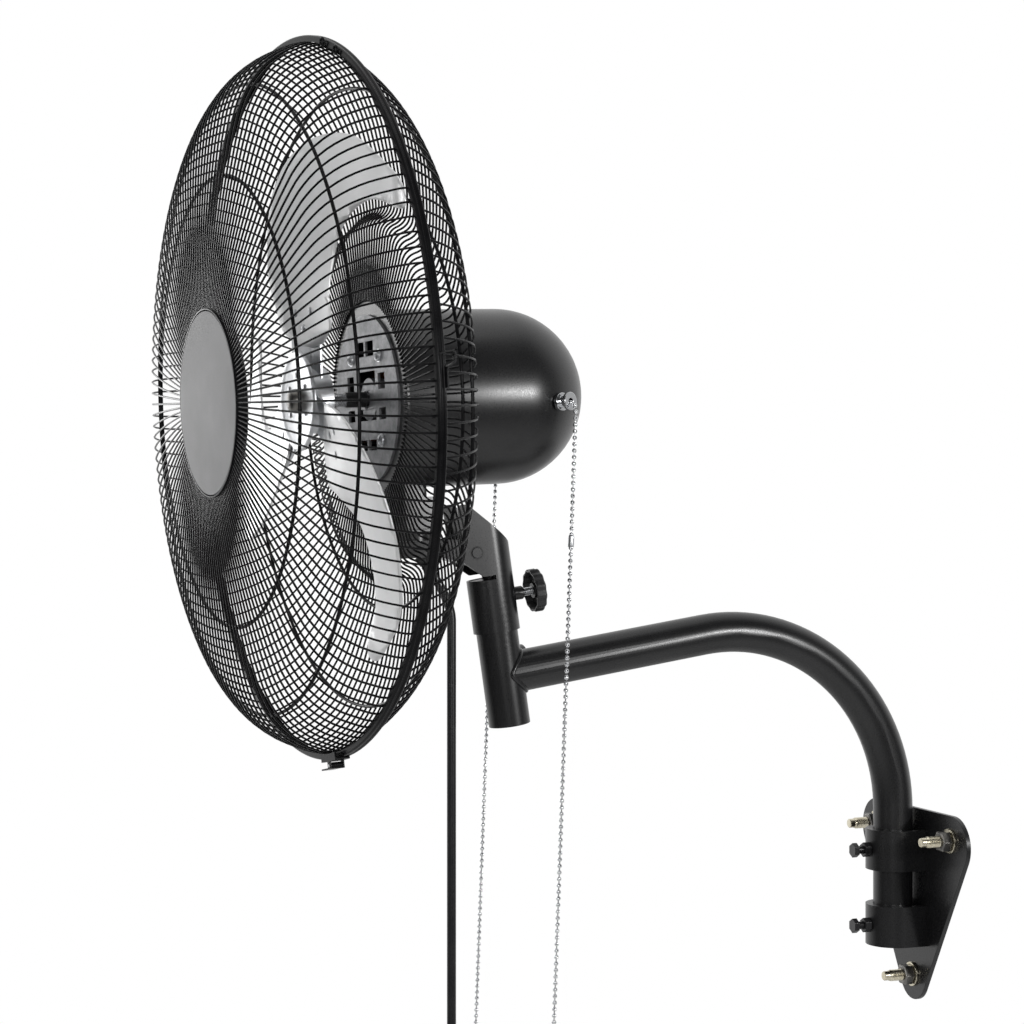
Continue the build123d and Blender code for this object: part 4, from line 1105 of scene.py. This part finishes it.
mounted("anchor_studs", smooth(anchored(stud, 40)), gold_zinc, "wall_bracket")
mounted("anchor_washers", smooth(anchored(washer, 48)), gold_zinc, "wall_bracket")
rounded(mounted("anchor_nuts", smooth(anchored(anchor_nut, 6), sharp=20), dark_zinc, "wall_bracket"), 0.3)
print("anchors:", len(anchor_places))

# %% [markdown]
# ## A plain studio
# The fan hangs over a pale floor in front of pure white.  Black pieces are seen only by what
# they mirror: in an evenly white room they would turn grey, so mirrors see a bright back and a
# dimmer front, as in a real studio, which is dark behind the camera.

# %% The floor
floor_height, floor_side, floor_front, floor_back = -1.2, 3, -3.6, 2.4
floor_mesh = bpy.data.meshes.new("floor")
floor_corners = [(-floor_side, floor_front), (floor_side, floor_front), (floor_side, floor_back),
                 (-floor_side, floor_back)]
floor_mesh.from_pydata([(x, y, floor_height) for x, y in floor_corners], [], [(0, 1, 2, 3)])
floor_finish = bpy.data.materials.new("floor")
floor_finish.use_nodes = True
floor_surface = floor_finish.node_tree.nodes["Principled BSDF"]
floor_surface.inputs["Base Color"].default_value = (0.8, 0.8, 0.8, 1)
floor_surface.inputs["Roughness"].default_value = 0.9
floor = shown("floor", floor_mesh, floor_finish)
print("floor at", floor_height, "m")

# %% The world in mirrors: bright behind the fan, dim in front
dim_front, bright_back = 0.06, 1.0
behind_the_fan = (-0.94, 0.34, 0.12)
world = bpy.data.worlds.new("studio")
scene.world = world
world.use_nodes = True
nodes, links = world.node_tree.nodes, world.node_tree.links
direction = nodes.new("ShaderNodeTexCoord")
toward = nodes.new("ShaderNodeVectorMath")
toward.operation = "DOT_PRODUCT"
toward.inputs[1].default_value = behind_the_fan
links.new(direction.outputs["Generated"], toward.inputs[0])
bright = nodes.new("ShaderNodeMapRange")
bright.interpolation_type = "SMOOTHSTEP"
bright.inputs["From Min"].default_value = -0.2
bright.inputs["From Max"].default_value = 0.5
bright.inputs["To Min"].default_value = dim_front
bright.inputs["To Max"].default_value = bright_back
links.new(toward.outputs["Value"], bright.inputs["Value"])
print("mirrors see", dim_front, "in front to", bright_back, "behind")

# %% The world for each kind of ray: a soft room, the mirrors' world, and white for the camera
room_light = 0.42
light_path = nodes.new("ShaderNodeLightPath")


def blended(usual, special, ray):
    """The usual strength, and the special one for one kind of ray."""
    mixed = nodes.new("ShaderNodeMix")
    links.new(light_path.outputs[ray], mixed.inputs["Factor"])
    for socket, value in ((mixed.inputs["A"], usual), (mixed.inputs["B"], special)):
        if isinstance(value, bpy.types.NodeSocket):
            links.new(value, socket)
        else:
            socket.default_value = value
    return mixed.outputs["Result"]


seen = blended(room_light, bright.outputs["Result"], "Is Glossy Ray")
seen = blended(seen, 1.0, "Is Transmission Ray")
seen = blended(seen, 1.0, "Is Camera Ray")
links.new(seen, nodes["Background"].inputs["Strength"])
nodes["Background"].inputs["Color"].default_value = (1, 1, 1, 1)
print("world nodes:", len(nodes))

# %% [markdown]
# ## The lamps
# Soft boxes draw the long highlights on the tubes and the motor.  Large ones above and to the
# left light the pale pieces.  Small ones by the camera show the black ones, and one past the
# motor draws the bright streak along its side.


# %% The lamps
def lamp(name, place, target, width, height, power):
    """A soft box of so many watts that looks at a point."""
    light = bpy.data.lights.new(name, "AREA")
    light.shape = "RECTANGLE"
    light.size, light.size_y, light.energy = width, height, power
    box = bpy.data.objects.new(name, light)
    box.location = place
    box.rotation_euler = (Vector(target) - Vector(place)).to_track_quat("-Z", "Y").to_euler()
    scene.collection.objects.link(box)


lamp("over", (0.3, -0.7, 2.6), (0, -0.4, 0.3), 1.6, 1.6, 9)
lamp("front_left", (0.8, -2.6, 0.9), (0, -0.6, 0.4), 1.0, 1.4, 14)
lamp("beside_camera", (2.4, -0.55, 0.75), (0, -0.5, 0.4), 0.5, 0.25, 7)
lamp("by_the_lens", (2.25, -1.35, 0.5), (0, -0.5, 0.35), 0.35, 0.6, 9)
lamp("past_the_motor", (2.08, 0.8, 0.58), (0, -0.45, 0.44), 0.3, 0.12, 30)
lamp("far_left", (-2.3, -1.35, 0.6), (0, -0.6, 0.43), 0.8, 0.8, 9)
scene.view_settings.view_transform = "Standard"
